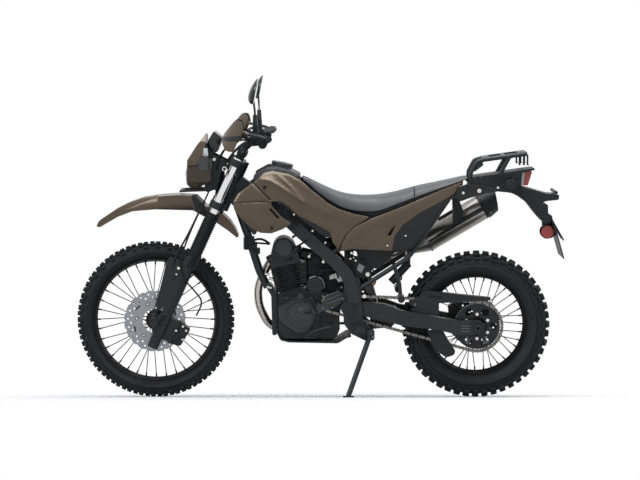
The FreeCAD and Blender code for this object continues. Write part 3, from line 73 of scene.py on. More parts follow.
def stage_material():
    """White paper that fades out towards the edge of its sheet."""
    material = bpy.data.materials.new("stage_paper")
    material.use_nodes = True
    tree = material.node_tree
    shader = tree.nodes["Principled BSDF"]
    shader.inputs["Base Color"].default_value = (0.60, 0.60, 0.61, 1)
    shader.inputs["Roughness"].default_value = 0.9
    noise = tree.nodes.new("ShaderNodeTexNoise")
    noise.inputs["Scale"].default_value = 90.0
    bump = tree.nodes.new("ShaderNodeBump")
    bump.inputs["Strength"].default_value = 0.02
    tree.links.new(noise.outputs["Fac"], bump.inputs["Height"])
    tree.links.new(bump.outputs["Normal"], shader.inputs["Normal"])
    place = tree.nodes.new("ShaderNodeTexCoord")
    reach = tree.nodes.new("ShaderNodeVectorMath")
    reach.operation = "LENGTH"
    tree.links.new(place.outputs["Object"], reach.inputs[0])
    fade = tree.nodes.new("ShaderNodeMapRange")
    fade.interpolation_type = "SMOOTHSTEP"
    fade.inputs["From Min"].default_value = 0.85
    fade.inputs["From Max"].default_value = 1.75
    tree.links.new(reach.outputs["Value"], fade.inputs["Value"])
    clear = tree.nodes.new("ShaderNodeBsdfTransparent")
    mix = tree.nodes.new("ShaderNodeMixShader")
    tree.links.new(fade.outputs["Result"], mix.inputs["Fac"])
    tree.links.new(shader.outputs["BSDF"], mix.inputs[1])
    tree.links.new(clear.outputs["BSDF"], mix.inputs[2])
    tree.links.new(mix.outputs["Shader"], tree.nodes["Material Output"].inputs["Surface"])
    return material


floor_mesh = bmesh.new()
bmesh.ops.create_grid(floor_mesh, x_segments=1, y_segments=1, size=3.0)
floor_data = bpy.data.meshes.new("floor")
floor_mesh.to_mesh(floor_data)
floor_mesh.free()
floor = bpy.data.objects.new("floor", floor_data)
floor_data.materials.append(stage_material())
bpy.context.scene.collection.objects.link(floor)

world = bpy.data.worlds.new("studio")
bpy.context.scene.world = world
world.use_nodes = True
tree = world.node_tree
room = tree.nodes["Background"]
room.inputs["Color"].default_value = (0.90, 0.93, 1.0, 1)
room.inputs["Strength"].default_value = 0.34
paper = tree.nodes.new("ShaderNodeBackground")
paper.inputs["Color"].default_value = (1, 1, 1, 1)
paper.inputs["Strength"].default_value = 1.0
rays = tree.nodes.new("ShaderNodeLightPath")
chooser = tree.nodes.new("ShaderNodeMixShader")
seen = tree.nodes.new("ShaderNodeMath")
seen.operation = "MAXIMUM"
through = tree.nodes.new("ShaderNodeMath")
through.operation = "MAXIMUM"
tree.links.new(rays.outputs["Is Camera Ray"], seen.inputs[0])
tree.links.new(rays.outputs["Is Transmission Ray"], seen.inputs[1])
tree.links.new(seen.outputs["Value"], through.inputs[0])
tree.links.new(rays.outputs["Is Glossy Ray"], through.inputs[1])
tree.links.new(through.outputs["Value"], chooser.inputs["Fac"])
tree.links.new(room.outputs["Background"], chooser.inputs[1])
tree.links.new(paper.outputs["Background"], chooser.inputs[2])
tree.links.new(chooser.outputs["Shader"], tree.nodes["World Output"].inputs["Surface"])

for name, place, size, power in (
    ("key_box", (-3.2, -4.2, 4.6), 2.6, 190.0),
    ("top_box", (0.4, -0.9, 4.6), 3.4, 250.0),
    ("back_box", (3.4, 3.6, 3.6), 2.6, 110.0),
):
    lamp = bpy.data.lights.new(name, "AREA")
    lamp.shape = "SQUARE"
    lamp.size = size
    lamp.energy = power
    rig = bpy.data.objects.new(name, lamp)
    rig.location = place
    rig.rotation_euler = (Vector((0, 0, 0.6)) - Vector(place)).to_track_quat("-Z", "Y").to_euler()
    bpy.context.scene.collection.objects.link(rig)
bpy.context.scene.view_settings.view_transform = "Standard"


# Stance
# Every new piece is drawn upright in millimetres, as part of a machine that
# stands straight up, and is then set down in metres on the leaning frame.
joints = {joint["name"]: joint for joint in frame["joints"]}
across = Vector(joints["front_wheel_spin"]["axis"])
lean = Matrix.Rotation(math.atan2(across.z, across.y), 4, "X") @ Matrix.Scale(0.001, 4)
front_axle = Vector((-683.11, 0, 335))
rear_axle = Vector((682.33, 0, 315))
stance = Matrix.Translation(Vector(joints["front_wheel_spin"]["pos_m"]) - lean @ front_axle) @ lean


# Tyres
# Knobbly dual sport tyres, black rubber on a fabric carcass: rows of blocks on
# the crown and hooked blocks at the shoulder. The carcass is turned about the
# axle and each block is a bevelled block set on the crown.

def finish(name, colour, rough, metal=0.0, grain=400.0, bump=0.05, mottle=0.08, coat=0.0, vary=0.12,
           spec=0.5):
    """A finish with a fine grain in its height and broad, soft changes in colour and gloss."""
    material = bpy.data.materials.new(name)
    material.use_nodes = True
    tree = material.node_tree
    shader = tree.nodes["Principled BSDF"]
    shader.inputs["Metallic"].default_value = metal
    shader.inputs["Coat Weight"].default_value = coat
    shader.inputs["Coat Roughness"].default_value = 0.12
    shader.inputs["Specular IOR Level"].default_value = spec
    place = tree.nodes.new("ShaderNodeTexCoord")
    broad = tree.nodes.new("ShaderNodeTexNoise")
    broad.inputs["Scale"].default_value = 14.0
    broad.inputs["Detail"].default_value = 5.0
    fine = tree.nodes.new("ShaderNodeTexNoise")
    fine.inputs["Scale"].default_value = grain
    fine.inputs["Detail"].default_value = 3.0
    for texture in (broad, fine):
        tree.links.new(place.outputs["Object"], texture.inputs["Vector"])
    tint = tree.nodes.new("ShaderNodeMix")
    tint.data_type = "RGBA"
    tint.inputs["A"].default_value = [channel * (1 - mottle) for channel in colour] + [1]
    tint.inputs["B"].default_value = [channel * (1 + mottle) for channel in colour] + [1]
    tree.links.new(broad.outputs["Fac"], tint.inputs["Factor"])
    tree.links.new(tint.outputs["Result"], shader.inputs["Base Color"])
    gloss = tree.nodes.new("ShaderNodeMapRange")
    gloss.inputs["From Min"].default_value = 0.3
    gloss.inputs["From Max"].default_value = 0.7
    gloss.inputs["To Min"].default_value = max(0.03, rough * (1 - vary))
    gloss.inputs["To Max"].default_value = min(1.0, rough * (1 + vary))
    tree.links.new(broad.outputs["Fac"], gloss.inputs["Value"])
    tree.links.new(gloss.outputs["Result"], shader.inputs["Roughness"])
    height = tree.nodes.new("ShaderNodeBump")
    height.inputs["Strength"].default_value = bump
    height.inputs["Distance"].default_value = 0.001
    tree.links.new(fine.outputs["Fac"], height.inputs["Height"])
    tree.links.new(height.outputs["Normal"], shader.inputs["Normal"])
    return material


def settle(form, name, body, finishes, crease=35.0, replaced=()):
    """Sets an upright drawing down on the frame, as a piece that rides on one body."""
    bmesh.ops.remove_doubles(form, verts=form.verts, dist=0.01)
    bmesh.ops.recalc_face_normals(form, faces=form.faces)
    bmesh.ops.transform(form, matrix=stance, verts=form.verts)
    mesh = bpy.data.meshes.new(name)
    form.to_mesh(mesh)
    form.free()
    mesh.shade_smooth()
    mesh.set_sharp_from_angle(angle=math.radians(crease))
    for coat in finishes:
        mesh.materials.append(coat)
    piece = bpy.data.objects.new(name, mesh)
    bpy.context.scene.collection.objects.link(piece)
    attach(piece, body)
    if replaced:
        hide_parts(*replaced)
    return piece


def turned(form, profile, steps, centre=(0, 0, 0)):
    """Spins a closed profile of radius and y about an axle that runs across the machine."""
    corners = [form.verts.new((radius, y, 0)) for radius, y in profile]
    loop = [form.edges.new(pair) for pair in zip(corners, corners[1:] + corners[:1])]
    bmesh.ops.spin(
        form, geom=corners + loop, cent=(0, 0, 0), axis=(0, 1, 0), angle=math.radians(360), steps=steps,
        use_merge=True, use_normal_flip=False, use_duplicate=False)
    bmesh.ops.translate(form, vec=centre, verts=fresh_verts(form))


def mark_drawn(form):
    """Marks all that is drawn so far, so that the next move takes only what is new."""
    for vert in form.verts:
        vert.tag = True


def fresh_verts(form):
    """All that is drawn since the last mark."""
    return [vert for vert in form.verts if not vert.tag]


def soften(form, size, segments=2, angle=32.0, only_new=False):
    """Rounds the sharp edges of a drawing."""
    limit = math.radians(angle)
    edges = [edge for edge in form.edges if edge.is_manifold and edge.calc_face_angle(0) > limit]
    if only_new:
        edges = [edge for edge in edges if not edge.verts[0].tag]
    bmesh.ops.bevel(form, geom=edges, offset=size, offset_type="OFFSET", segments=segments, profile=0.5,
                    affect="EDGES", material=-1, clamp_overlap=True)


rubber = finish("tyre_rubber", (0.016, 0.017, 0.018), 0.74, grain=700.0, bump=0.25, mottle=0.3, vary=0.2,
                spec=0.22)


def tread_tyre(name, body, centre, radius, bead, width, crown, depth, count, rows, replaced):
    """A carcass with blocks. A row is y, half length, half width, skip, shift and rise."""
    form = bmesh.new()
    half = width / 2
    root = 5
    crown_centre = radius - crown
    profile = []
    arc = crown - depth
    side_angle = math.asin(min(0.98, (half * 0.86) / arc))
    steps = 7
    for step in range(-steps, steps + 1):
        angle = side_angle * step / steps
        profile.append((crown_centre + arc * math.cos(angle), arc * math.sin(angle)))
    shoulder_r = profile[-1][0]
    shoulder_y = profile[-1][1]
    lip = bead + 8.2
    wall = [(shoulder_r - 6, shoulder_y + 2.5), (shoulder_r - 7.5, shoulder_y + 1.2),
            ((shoulder_r * 2 + lip) / 3, half - 1), ((shoulder_r + lip * 2) / 3, half - 4),
            (lip + 7, half * 0.78), (lip + 5.5, half * 0.74), (lip + 1.0, half * 0.70), (lip, half * 0.62),
            (bead + 0.3, half * 0.50)]
    profile += wall + [(r, -y) for r, y in reversed(wall)]
    turned(form, profile, 120)
    mark_drawn(form)
    for row_y, half_length, half_width, skip, shift, rise in rows:
        for number in range(0, count, skip):
            turn = 2 * math.pi * (number + shift) / count
            angle = math.asin(max(-0.99, min(0.99, row_y / crown)))
            made = bmesh.ops.create_cube(form, size=1)["verts"]
            bmesh.ops.scale(form, vec=(depth + root + rise, half_width * 2, half_length * 2), verts=made)
            top = [vert for vert in made if vert.co.x > 0]
            bmesh.ops.scale(form, vec=(1, 0.86, 0.84), verts=top)
            around = Matrix.Rotation(turn, 4, "Y")
            aslant = Matrix.Translation((crown_centre, 0, 0)) @ Matrix.Rotation(angle, 4, "Z")
            outwards = Matrix.Translation((crown + rise - (depth + root + rise) / 2, 0, 0))
            bmesh.ops.transform(form, matrix=around @ aslant @ outwards, verts=made)
    soften(form, 1.1, 1, only_new=True)
    bmesh.ops.translate(form, vec=centre, verts=form.verts)
    return settle(form, name, body, [rubber], 40.0, replaced)


front_rows = [(0, 10.0, 9.0, 2, 0, 0), (0, 10.0, 6.5, 2, 1, 0)]
for side in (1, -1):
    front_rows += [(side * 16, 9.5, 5.5, 2, 0.9, 0), (side * 25, 9.5, 5.5, 2, 0.1, 0),
                   (side * 34, 10.5, 4.5, 2, 1, 0)]
tread_tyre("front_tyre_tread", "front_wheel", front_axle, radius=335.0, bead=262.0, width=78.0, crown=41.0,
           depth=9.0, count=78, rows=front_rows, replaced=["front_tyre"])
rear_rows = [(0, 14.5, 12.0, 2, 0, 0), (-15, 14.5, 7, 2, 1, 0), (15, 14.5, 7, 2, 1, 0)]
for side in (1, -1):
    rear_rows += [(side * 29, 14.5, 7.5, 2, 0, 0), (side * 43, 14.5, 6.5, 2, 1, 0), (side * 46, 13.0, 5.5,
                2, 0, -3)]
tread_tyre("rear_tyre_tread", "rear_wheel", rear_axle, radius=315.0, bead=214.0, width=104.0, crown=54.0,
           depth=13.0, count=48, rows=rear_rows, replaced=["rear_tyre"])


# Wheels
# Black anodised rims laced with thirty-six black wire spokes to a small hub.
# Rim and hub are turned; each spoke has its own nipple where it meets the rim.

def rod(form, start, end, radius, sides=16, tip=None, paint=0):
    """A round bar or cone between two points."""
    start = Vector(start)
    end = Vector(end)
    span = end - start
    made = bmesh.ops.create_cone(form, cap_ends=True, segments=sides, radius1=radius,
                                 radius2=radius if tip is None else tip, depth=span.length)["verts"]
    turn = span.to_track_quat("Z", "Y").to_matrix().to_4x4()
    bmesh.ops.transform(form, matrix=Matrix.Translation((start + end) / 2) @ turn, verts=made)
    for face in {face for vert in made for face in vert.link_faces}:
        face.material_index = paint
    return made


rim_black = finish("rim_anodised", (0.010, 0.010, 0.011), 0.34, metal=0.3, grain=900.0, bump=0.03,
                   mottle=0.2, spec=0.3)
spoke_black = finish("spoke_black", (0.010, 0.010, 0.011), 0.34, metal=0.3, grain=900.0, bump=0.02,
                     mottle=0.15, spec=0.2)


def laced_wheel(name, body, centre, bead, width, hub_radius, hub_half, end_low, end_high, replaced):
    """Rim, hub, spokes and nipples of one wheel."""
    form = bmesh.new()
    half = width / 2
    lip = bead + 8
    outer = [(lip, half), (lip + 0.4, half - 2.5), (lip - 1, half - 5), (bead, half - 5.2),
             (bead, half - 14), (bead - 8, half - 18)]
    under = [(bead - 13, half - 19), (bead - 9, half - 12), (bead - 5, half - 5), (bead - 1, half)]
    turned(form, outer + [(r, -y) for r, y in reversed(outer)] + [(r, -y) for r,
                y in under] + under[::-1], 120)
    barrel = hub_radius * 0.62
    hub = [(10.6, end_low), (17, end_low), (17, end_low + 8), (barrel, -hub_half - 12),
           (hub_radius + 6, -hub_half - 4), (hub_radius + 7, -hub_half), (hub_radius + 6, -hub_half + 4),
           (barrel, -hub_half + 10), (barrel - 3, 0), (barrel, hub_half - 10),
           (hub_radius + 6, hub_half - 4), (hub_radius + 7, hub_half), (hub_radius + 6, hub_half + 4),
           (barrel, hub_half + 12), (17, end_high - 8), (17, end_high), (10.6, end_high)]
    turned(form, hub, 48)
    spoke_count = 36
    step = 2 * math.pi / spoke_count
    for number in range(spoke_count):
        side = 1 if number % 2 else -1
        pull = 3 if number % 4 < 2 else -3
        at_rim = number * step
        at_hub = (number + pull) * step
        near = Vector((hub_radius * math.cos(at_hub), side * (hub_half + (2 if pull > 0 else -2)),
                       hub_radius * math.sin(at_hub)))
        far = Vector(((bead - 8) * math.cos(at_rim), side * 5, (bead - 8) * math.sin(at_rim)))
        rod(form, near, far, 1.9, 8, paint=1)
        along = (far - near).normalized()
        rod(form, far - along * 20, far, 3.2, 8, 3.6, paint=1)
        rod(form, near - along * 2, near + along * 5, 3.4, 8, paint=1)
    bmesh.ops.translate(form, vec=centre, verts=form.verts)
    return settle(form, name, body, [rim_black, spoke_black], 40.0, replaced)


laced_wheel("front_rim_laced", "front_wheel", front_axle, bead=262.0, width=50.0, hub_radius=34.0,
            hub_half=30.0, end_low=-74.0, end_high=74.0, replaced=["front_rim"])
laced_wheel("rear_rim_laced", "rear_wheel", rear_axle, bead=214.0, width=64.0, hub_radius=42.0,
            hub_half=34.0, end_low=-84.0, end_high=79.0, replaced=["rear_rim"])


# Tank side panels
# Injection moulded in brown with metal flake, one each side with its forward wing.
# The skin is cut from the frame's shape, with two sharp ridges that meet, soft creases,
# rolled rims, a black seam across the wing and round black fixing buttons.

def outward(side, near, far):
    """The lower and the higher y of two distances from the middle plane, on one side."""
    return sorted((side * near, side * far))


def drum(form, x, z, radius, y_low, y_high, sides=32, tip=None, paint=0):
    """A round bar or cone that runs across the machine."""
    return rod(form, (x, y_low, z), (x, y_high, z), radius, sides, tip, paint)


into_drawing = stance.inverted()


def traced(node, ease=0.6):
    """An upright drawing, in millimetres, of a piece as it stands on the frame."""
    form = bmesh.new()
    form.from_mesh(frame["nodes"][node].data)
    bmesh.ops.transform(form, matrix=into_drawing, verts=form.verts)
    bmesh.ops.remove_doubles(form, verts=form.verts, dist=0.02)
    if ease > 0:
        bmesh.ops.dissolve_limit(form, angle_limit=math.radians(ease), verts=form.verts, edges=form.edges)
    for face in form.faces:
        face.material_index = 0
    return form


def cut_by(form, place, normal):
    """Cuts every face along a plane, without taking anything away."""
    geom = list(form.verts) + list(form.edges) + list(form.faces)
    bmesh.ops.bisect_plane(form, geom=geom, plane_co=place, plane_no=normal, dist=0.01)


def cut_line(form, points):
    """Cuts across the machine along the planes of a line of x and z points."""
    for (x, z), (next_x, next_z) in zip(points, points[1:]):
        cut_by(form, (x, 0, z), (next_z - z, 0, x - next_x))


def cut_fine(form, step):
    """Cuts a drawing into cells of one size along x and z."""
    xs = [vert.co.x for vert in form.verts]
    zs = [vert.co.z for vert in form.verts]
    for low, high, normal in ((min(xs), max(xs), (1, 0, 0)), (min(zs), max(zs), (0, 0, 1))):
        for number in range(1, int((high - low) / step) + 1):
            place = low + number * step
            cut_by(form, (place, 0, place), normal)


def paint_where(form, index, rule):
    """Gives one finish to the faces whose middle fits a rule of x, y and z."""
    for face in form.faces:
        middle = face.calc_center_median()
        if rule(middle.x, middle.y, middle.z):
            face.material_index = index


def shape_skin(form, roll=9.0, drop=3.2, creases=()):
    """Rolls the rims of a moulded skin inwards and raises soft creases on it."""
    form.normal_update()
    flat = [face for face in form.faces if abs(face.normal.y) > 0.5]
    skins = [face for face in flat if face.normal.y * face.calc_center_median().y > 0]
    skin_set = set(skins)
    rims = []
    for face in skins:
        for edge in face.edges:
            if any(other not in skin_set for other in edge.link_faces):
                rims += [edge.verts[0].co.copy(), (edge.verts[0].co + edge.verts[1].co) / 2,
                         edge.verts[1].co.copy()]
    tree = KDTree(len(rims))
    for number, spot in enumerate(rims):
        tree.insert(spot, number)
    tree.balance()
    for vert in {vert for face in skins for vert in face.verts}:
        side = 1 if vert.co.y > 0 else -1
        near = tree.find(vert.co)[2]
        shift = -drop * max(0.0, 1 - near / roll) ** 2
        ease = min(1.0, near / 30)
        for line, height, width in creases:
            best = 1e9
            for (x, z), (next_x, next_z) in zip(line, line[1:]):
                run = Vector((next_x - x, next_z - z))
                away = Vector((vert.co.x - x, vert.co.z - z))
                share = max(0.0, min(1.0, away.dot(run) / run.length_squared))
                best = min(best, (away - run * share).length)
            shift += ease * height * max(0.0, 1 - best / width)
        vert.co.y += side * shift


brown = finish("body_brown", (0.090, 0.068, 0.047), 0.33, metal=0.42, grain=2200.0, bump=0.015,
               mottle=0.05, coat=0.12, spec=0.3)
moulded = finish("moulded_black", (0.013, 0.014, 0.0155), 0.50, grain=1100.0, bump=0.12, mottle=0.12,
                 spec=0.25)
rubber_black = finish("rubber_black", (0.009, 0.010, 0.011), 0.66, grain=900.0, bump=0.12, mottle=0.15,
                      spec=0.2)
sharp_creases = [
    ([(-231, 986), (-181, 976), (-148, 955), (-107, 914), (-53, 851)], 4.5, 12),
    ([(-252, 951), (-198, 941), (-169, 926), (-115, 893), (-53, 851)], 4.5, 12),
    ([(-215, 832), (-182, 807), (-145, 786), (-99, 757)], 4.0, 13),
]
soft_creases = [
    ([(-242, 948), (-184, 940), (-137, 910), (-49, 849), (60, 800)], 6.0, 34),
    ([(-298, 799), (-249, 756), (-190, 766), (-99, 760)], 3.0, 22),
]
form = traced("shrouds")
cut_fine(form, 6.0)
for line, height, width in sharp_creases:
    cut_line(form, line)
seam_low = 851.2
seam_high = 854.8
for level in (seam_low, seam_high):
    cut_by(form, (0, 0, level), (0, 0, 1))
shape_skin(form, roll=10.0, drop=3.4, creases=sharp_creases + soft_creases)
paint_where(form, 1, lambda x, y, z: x < -186 and seam_low < z < seam_high)
for x, z, y in ((-211, 915, 183), (-184, 744, 176), (81, 688, 128)):
    for side in (-1, 1):
        drum(form, x, z, 8.0, *outward(side, y - 9, y + 1.5), 24, paint=1)
        drum(form, x, z, 4.0, *outward(side, y - 9, y + 2.6), 6, paint=2)
settle(form, "tank_side_panels", "chassis", [brown, moulded, rubber_black], 24.0, ["shrouds"])


# Covers under the seat
# The same brown moulding in front and above, grained black behind and below, with
# a rolled bright front edge, a short slot and one zinc screw.

def height_of(points, x):
    """The height of a line of x and z points at x."""
    for (x_low, z_low), (x_high, z_high) in zip(points, points[1:]):
        if x_low <= x <= x_high:
            return z_low + (z_high - z_low) * (x - x_low) / (x_high - x_low)
    return points[0][1] if x < points[0][0] else points[-1][1]


zinc = finish("zinc_bolt", (0.62, 0.61, 0.58), 0.26, metal=1.0, grain=1400.0, bump=0.02, mottle=0.08)
cover_line = [(317, 630), (330, 704), (365, 753), (434, 802), (517, 844), (572, 875), (622, 900)]
form = traced("side_panels")
cut_fine(form, 8.0)
cut_line(form, cover_line)
cover_crease = ([(130, 690), (180, 728), (262, 766), (352, 800), (450, 850)], 2.5, 26)
shape_skin(form, roll=12.0, drop=3.4, creases=[cover_crease])
paint_where(form, 1, lambda x, y, z: x > 317 and z < height_of(cover_line, x))
for side in (-1, 1):
    for x, z, y in ((376, 706, 118), (300, 665, 118)):
        drum(form, x, z, 6.5, *outward(side, y - 6, y + 1.5), 20, paint=1)
        drum(form, x, z, 4.2, *outward(side, y - 6, y + 3.0), 6, paint=2)
settle(form, "side_cover_mouldings", "chassis", [brown, moulded, zinc], 24.0, ["side_panels"])


# Tank top
# The black moulded cover over the front of the tank, with the round filler cap standing
# on it: a lighter metal disc with a bevelled rim and a black lock in its middle.
gloss_black = finish("gloss_black", (0.008, 0.009, 0.010), 0.18, grain=1800.0, bump=0.01, mottle=0.06,
                     coat=0.1, spec=0.4)
cap_grey = finish("cap_grey", (0.045, 0.048, 0.052), 0.36, metal=0.4, grain=900.0, bump=0.05, mottle=0.08,
                  spec=0.3)


def on_cap(x, y, z):
    """Whether a place lies on the filler cap, above the cover it stands on."""
    away = Vector((x, y, z)) - cap_foot
    height = away.dot(cap_rise)
    return height > 4 and (away - cap_rise * height).length < 47


cap_foot = Vector((-146, 0, 979))
cap_rise = Vector((0.196, 0, 0.981))

form = traced("tank_cover", 0)
paint_where(form, 1, on_cap)
rod(form, cap_foot + cap_rise * 9.0, cap_foot + cap_rise * 26.3, 46.2, 56, paint=1)
rod(form, cap_foot + cap_rise * 26.3, cap_foot + cap_rise * 28.0, 46.2, 56, 42.5, paint=1)
rod(form, cap_foot + cap_rise * 27.5, cap_foot + cap_rise * 30.0, 15, 32, paint=2)
settle(form, "tank_top_and_cap", "chassis", [moulded, cap_grey, gloss_black], 30.0, ["tank_cover"])


# Seat
# Foam in a smooth grey-blue vinyl cover, narrow at the tank and wide behind, with
# a sewn cross seam where the passenger's part begins and a black welt below.
vinyl = finish("seat_vinyl", (0.036, 0.041, 0.047), 0.56, grain=1300.0, bump=0.16, mottle=0.08, vary=0.15)
vinyl_dark = finish("seat_welt", (0.007, 0.007, 0.008), 0.6, grain=1300.0, bump=0.10, mottle=0.08,
                    spec=0.15)


def blended(rows, x):
    """The values of a table of stations at x, along a smooth curve through them."""
    last = len(rows) - 1
    index = max(0, min(last - 1, sum(1 for row in rows[1:] if row[0] <= x)))
    near = [rows[max(0, min(last, index + step))] for step in (-1, 0, 1, 2)]
    share = (x - near[1][0]) / (near[2][0] - near[1][0])
    out = []
    for a, b, c, d in zip(*near):
        slope_in = (c - a) / 2
        slope_out = (d - b) / 2
        start = (2 * share ** 3 - 3 * share ** 2 + 1) * b
        leave = (share ** 3 - 2 * share ** 2 + share) * slope_in
        end = (3 * share ** 2 - 2 * share ** 3) * c
        arrive = (share ** 3 - share ** 2) * slope_out
        out.append(start + leave + end + arrive)
    return out


def skinned(form, rings):
    """Joins closed rings of points, one after the other, into a skin that is closed at both ends."""
    loops = [[form.verts.new(point) for point in ring] for ring in rings]
    edges = [[form.edges.new(pair) for pair in zip(loop, loop[1:] + loop[:1])] for loop in loops]
    for first, second in zip(edges, edges[1:]):
        bmesh.ops.bridge_loops(form, edges=first + second)
    for loop in (loops[0], loops[-1]):
        form.faces.new(loop)


seat_rows = [(-60, 30, 952, 930), (20, 58, 915, 862), (100, 80, 881, 808), (180, 99, 867, 788),
             (260, 112, 868, 790), (340, 116, 881, 824), (420, 110, 903, 856), (500, 98, 920, 888),
             (575, 84, 936, 916), (640, 66, 950, 937)]
seat_shape = [(0.0, 1.02), (0.30, 1.01), (0.52, 0.98), (0.70, 0.91), (0.81, 0.80), (0.885, 0.66),
              (0.945, 0.50), (0.985, 0.34), (1.0, 0.27), (1.0, 0.20), (0.985, 0.14), (0.94, 0.05),
              (0.88, 0.0), (0.45, 0.0)]
seat_seam = 413.0

form = bmesh.new()
stations = [-60 + step * 12.5 for step in range(57)]
seam_steps = (-6, -2.4, 0, 2.4, 6)
stations = [x for x in stations if abs(x - seat_seam) > 7] + [seat_seam + step for step in seam_steps]
rings = []
for x in sorted(stations):
    _, half, top, bottom = blended(seat_rows, x)
    pinch = 2.6 if abs(x - seat_seam) < 1 else 0.0
    swell = 1.0 + 0.012 * math.sin((x + 60) / 700 * math.pi)
    ring = []
    for share, rise in seat_shape:
        ring.append((half * share * swell - pinch * share, bottom + (top - bottom) * rise - pinch * rise))
    outline = ring + [(-y, z) for y, z in ring[::-1] if y > 0.5]
    rings.append([(x, y, z) for y, z in outline])
skinned(form, rings)
for face in form.faces:
    middle = face.calc_center_median()
    _, half, top, bottom = blended(seat_rows, middle.x)
    rise = (middle.z - bottom) / (top - bottom)
    if 0.13 < rise < 0.26 and abs(middle.y) > half * 0.9:
        face.material_index = 1
    if abs(middle.x - seat_seam) < 2.4 and rise > 0.3:
        face.material_index = 1
seat_pad = settle(form, "seat_pad", "chassis", [vinyl, vinyl_dark], 60.0, ["seat"])
rounder = seat_pad.modifiers.new("rounder", "SUBSURF")
rounder.levels = 1
rounder.render_levels = 1


# Seat base
# The black moulded tray that the foam is glued to. It closes the gap between the
# seat and the covers under it.
form = bmesh.new()
rings = []
for x in [40 + step * 20 for step in range(30)]:
    _, half, top, bottom = blended(seat_rows, x)
    tray = [(half - 14, bottom + 6), (half - 14, bottom - 8), (half - 24, bottom - 20)]
    tray += [(-y, z) for y, z in tray[::-1]]
    rings.append([(x, y, z) for y, z in tray])
skinned(form, rings)
settle(form, "seat_base_tray", "chassis", [moulded], 30.0, [])


# Front fender
# The brown high fender, moulded in one piece, with a ridge along each side of its beak
# and a black band where it is bolted under the lower clamp.
form = traced("front_fender")
band_front = -517
band_back = -472
band_slope = 0.30
for x in (band_front, band_back):
    cut_by(form, (x, 0, 840), (1, 0, band_slope))
paint_where(form, 1, lambda x, y, z: band_front < x + band_slope * (z - 840) < band_back)
cut_line(form, [(-930, 728), (-765, 815), (-679, 828)])
settle(form, "front_fender_moulding", "steering", [brown, moulded], 48.0, ["front_fender"])


# Headlight mask
# Brown above and below a black waist line, with a clear pane and a small smoked
# side lamp behind it, and zinc screws through its black stays. The brown below the
# waist is a darker copy of the same brown, painted shade for its downward faces.

def rounded(points, arc_steps=5):
    """The corners of an outline, each given a radius, with the round ones as short runs."""
    out = []
    count = len(points)
    for index, point in enumerate(points):
        here = Vector(point[:2])
        radius = point[2] if len(point) > 2 else 0
        before = Vector(points[index - 1][:2])
        after = Vector(points[(index + 1) % count][:2])
        arriving = (here - before).normalized()
        leaving = (after - here).normalized()
        half = arriving.angle(leaving, 0) / 2
        if radius <= 0 or half < 0.02:
            out.append(tuple(here))
            continue
        reach = min(radius * math.tan(half), 0.49 * (here - before).length, 0.49 * (after - here).length)
        bend = reach / math.tan(half)
        centre = here + (leaving - arriving).normalized() * (bend / math.cos(half))
        start = here - arriving * reach - centre
        sweep = start.angle_signed(here + leaving * reach - centre, 0)
        for step in range(arc_steps + 1):
            out.append(tuple(centre + Matrix.Rotation(-sweep * step / arc_steps, 2) @ start))
    return out


def plate(form, points, y_low, y_high, paint=0, arc_steps=5):
    """A flat piece seen from the side: its outline carried across from one y to another."""
    verts = [form.verts.new((x, y_low, z)) for x, z in rounded(points, arc_steps)]
    face = form.faces.new(verts)
    raised = bmesh.ops.extrude_face_region(form, geom=[face])["geom"]
    top = [item for item in raised if isinstance(item, bmesh.types.BMVert)]
    bmesh.ops.translate(form, vec=(0, y_high - y_low, 0), verts=top)
    for face in {face for vert in verts + top for face in vert.link_faces}:
        face.material_index = paint
    return verts + top


clear_lens = finish("clear_lens", (0.62, 0.66, 0.68), 0.08, grain=400.0, bump=0.04, mottle=0.06, coat=0.9)
dark_lens = finish("dark_lens", (0.018, 0.021, 0.025), 0.20, grain=420.0, bump=0.06, mottle=0.12, coat=0.3)
# A darker copy of the body brown: painted shade for the lower half of the mask.
brown_painted_shade = finish("brown_painted_shade", (0.058, 0.045, 0.033), 0.26, metal=0.42, grain=2200.0, bump=0.015,
                   mottle=0.05, spec=0.3)
form = traced("headlight_mask")
waist = [(-560, 999), (-500, 1001), (-449, 1030), (-430, 1034)]
low_waist = [(x, z - 7) for x, z in waist]
cut_line(form, waist)
cut_line(form, low_waist)
for x, z in ((-522, 960), (-470, 1096)):
    cut_by(form, (x, 0, z), (0, 0, 1))
paint_where(form, 1, lambda x, y, z: height_of(low_waist, x) < z < height_of(waist, x))
# painted shade: the faces below the waist take the darker copy of the brown
paint_where(form, 4, lambda x, y, z: z < height_of(low_waist, x))
for side in (-1, 1):
    corners = [(-470, 1034, 3), (-470, 1071, 3), (-453, 1073, 3), (-450, 1034, 3)]
    plate(form, corners, *outward(side, 92, 99.5), paint=2)
    corners = [(-484, 1009, 4), (-462, 1028, 4), (-436, 1030, 4), (-434, 992, 4), (-474, 988, 6)]
    plate(form, corners, *outward(side, 92, 100.5), paint=3)
settle(form, "headlight_shell", "steering", [brown, moulded, clear_lens, dark_lens, brown_painted_shade], 24.0,
       ["headlight_mask"])


# Headlight stays
# Black moulded stays between the clamps and the mask, with a zinc screw above and a
# smaller one behind, and a round boss.

def bolt(form, x, y, z, size, way=-1, paint=0, height=None):
    """A hexagon head on a washer, facing left or right."""
    tall = size * 0.6 if height is None else height
    seat = y + way * 1.2
    drum(form, x, z, size * 1.05, *sorted((y, seat)), 20, paint=paint)
    drum(form, x, z, size * 0.85, *sorted((seat, y + way * tall)), 6, paint=paint)


form = traced("lamp_stays")
for side in (-1, 1):
    for x, z, size in ((-427, 1023, 6.5), (-371, 1007, 4.5)):
        bolt(form, x, side * 66, z, size, side, paint=1)
    drum(form, -384, 983, 10, *outward(side, 65, 70), 24, paint=1)
    drum(form, -384, 983, 6, *outward(side, 65, 70.6), 24, paint=0)
settle(form, "headlight_stays_bolted", "steering", [moulded, zinc], 30.0, ["lamp_stays"])


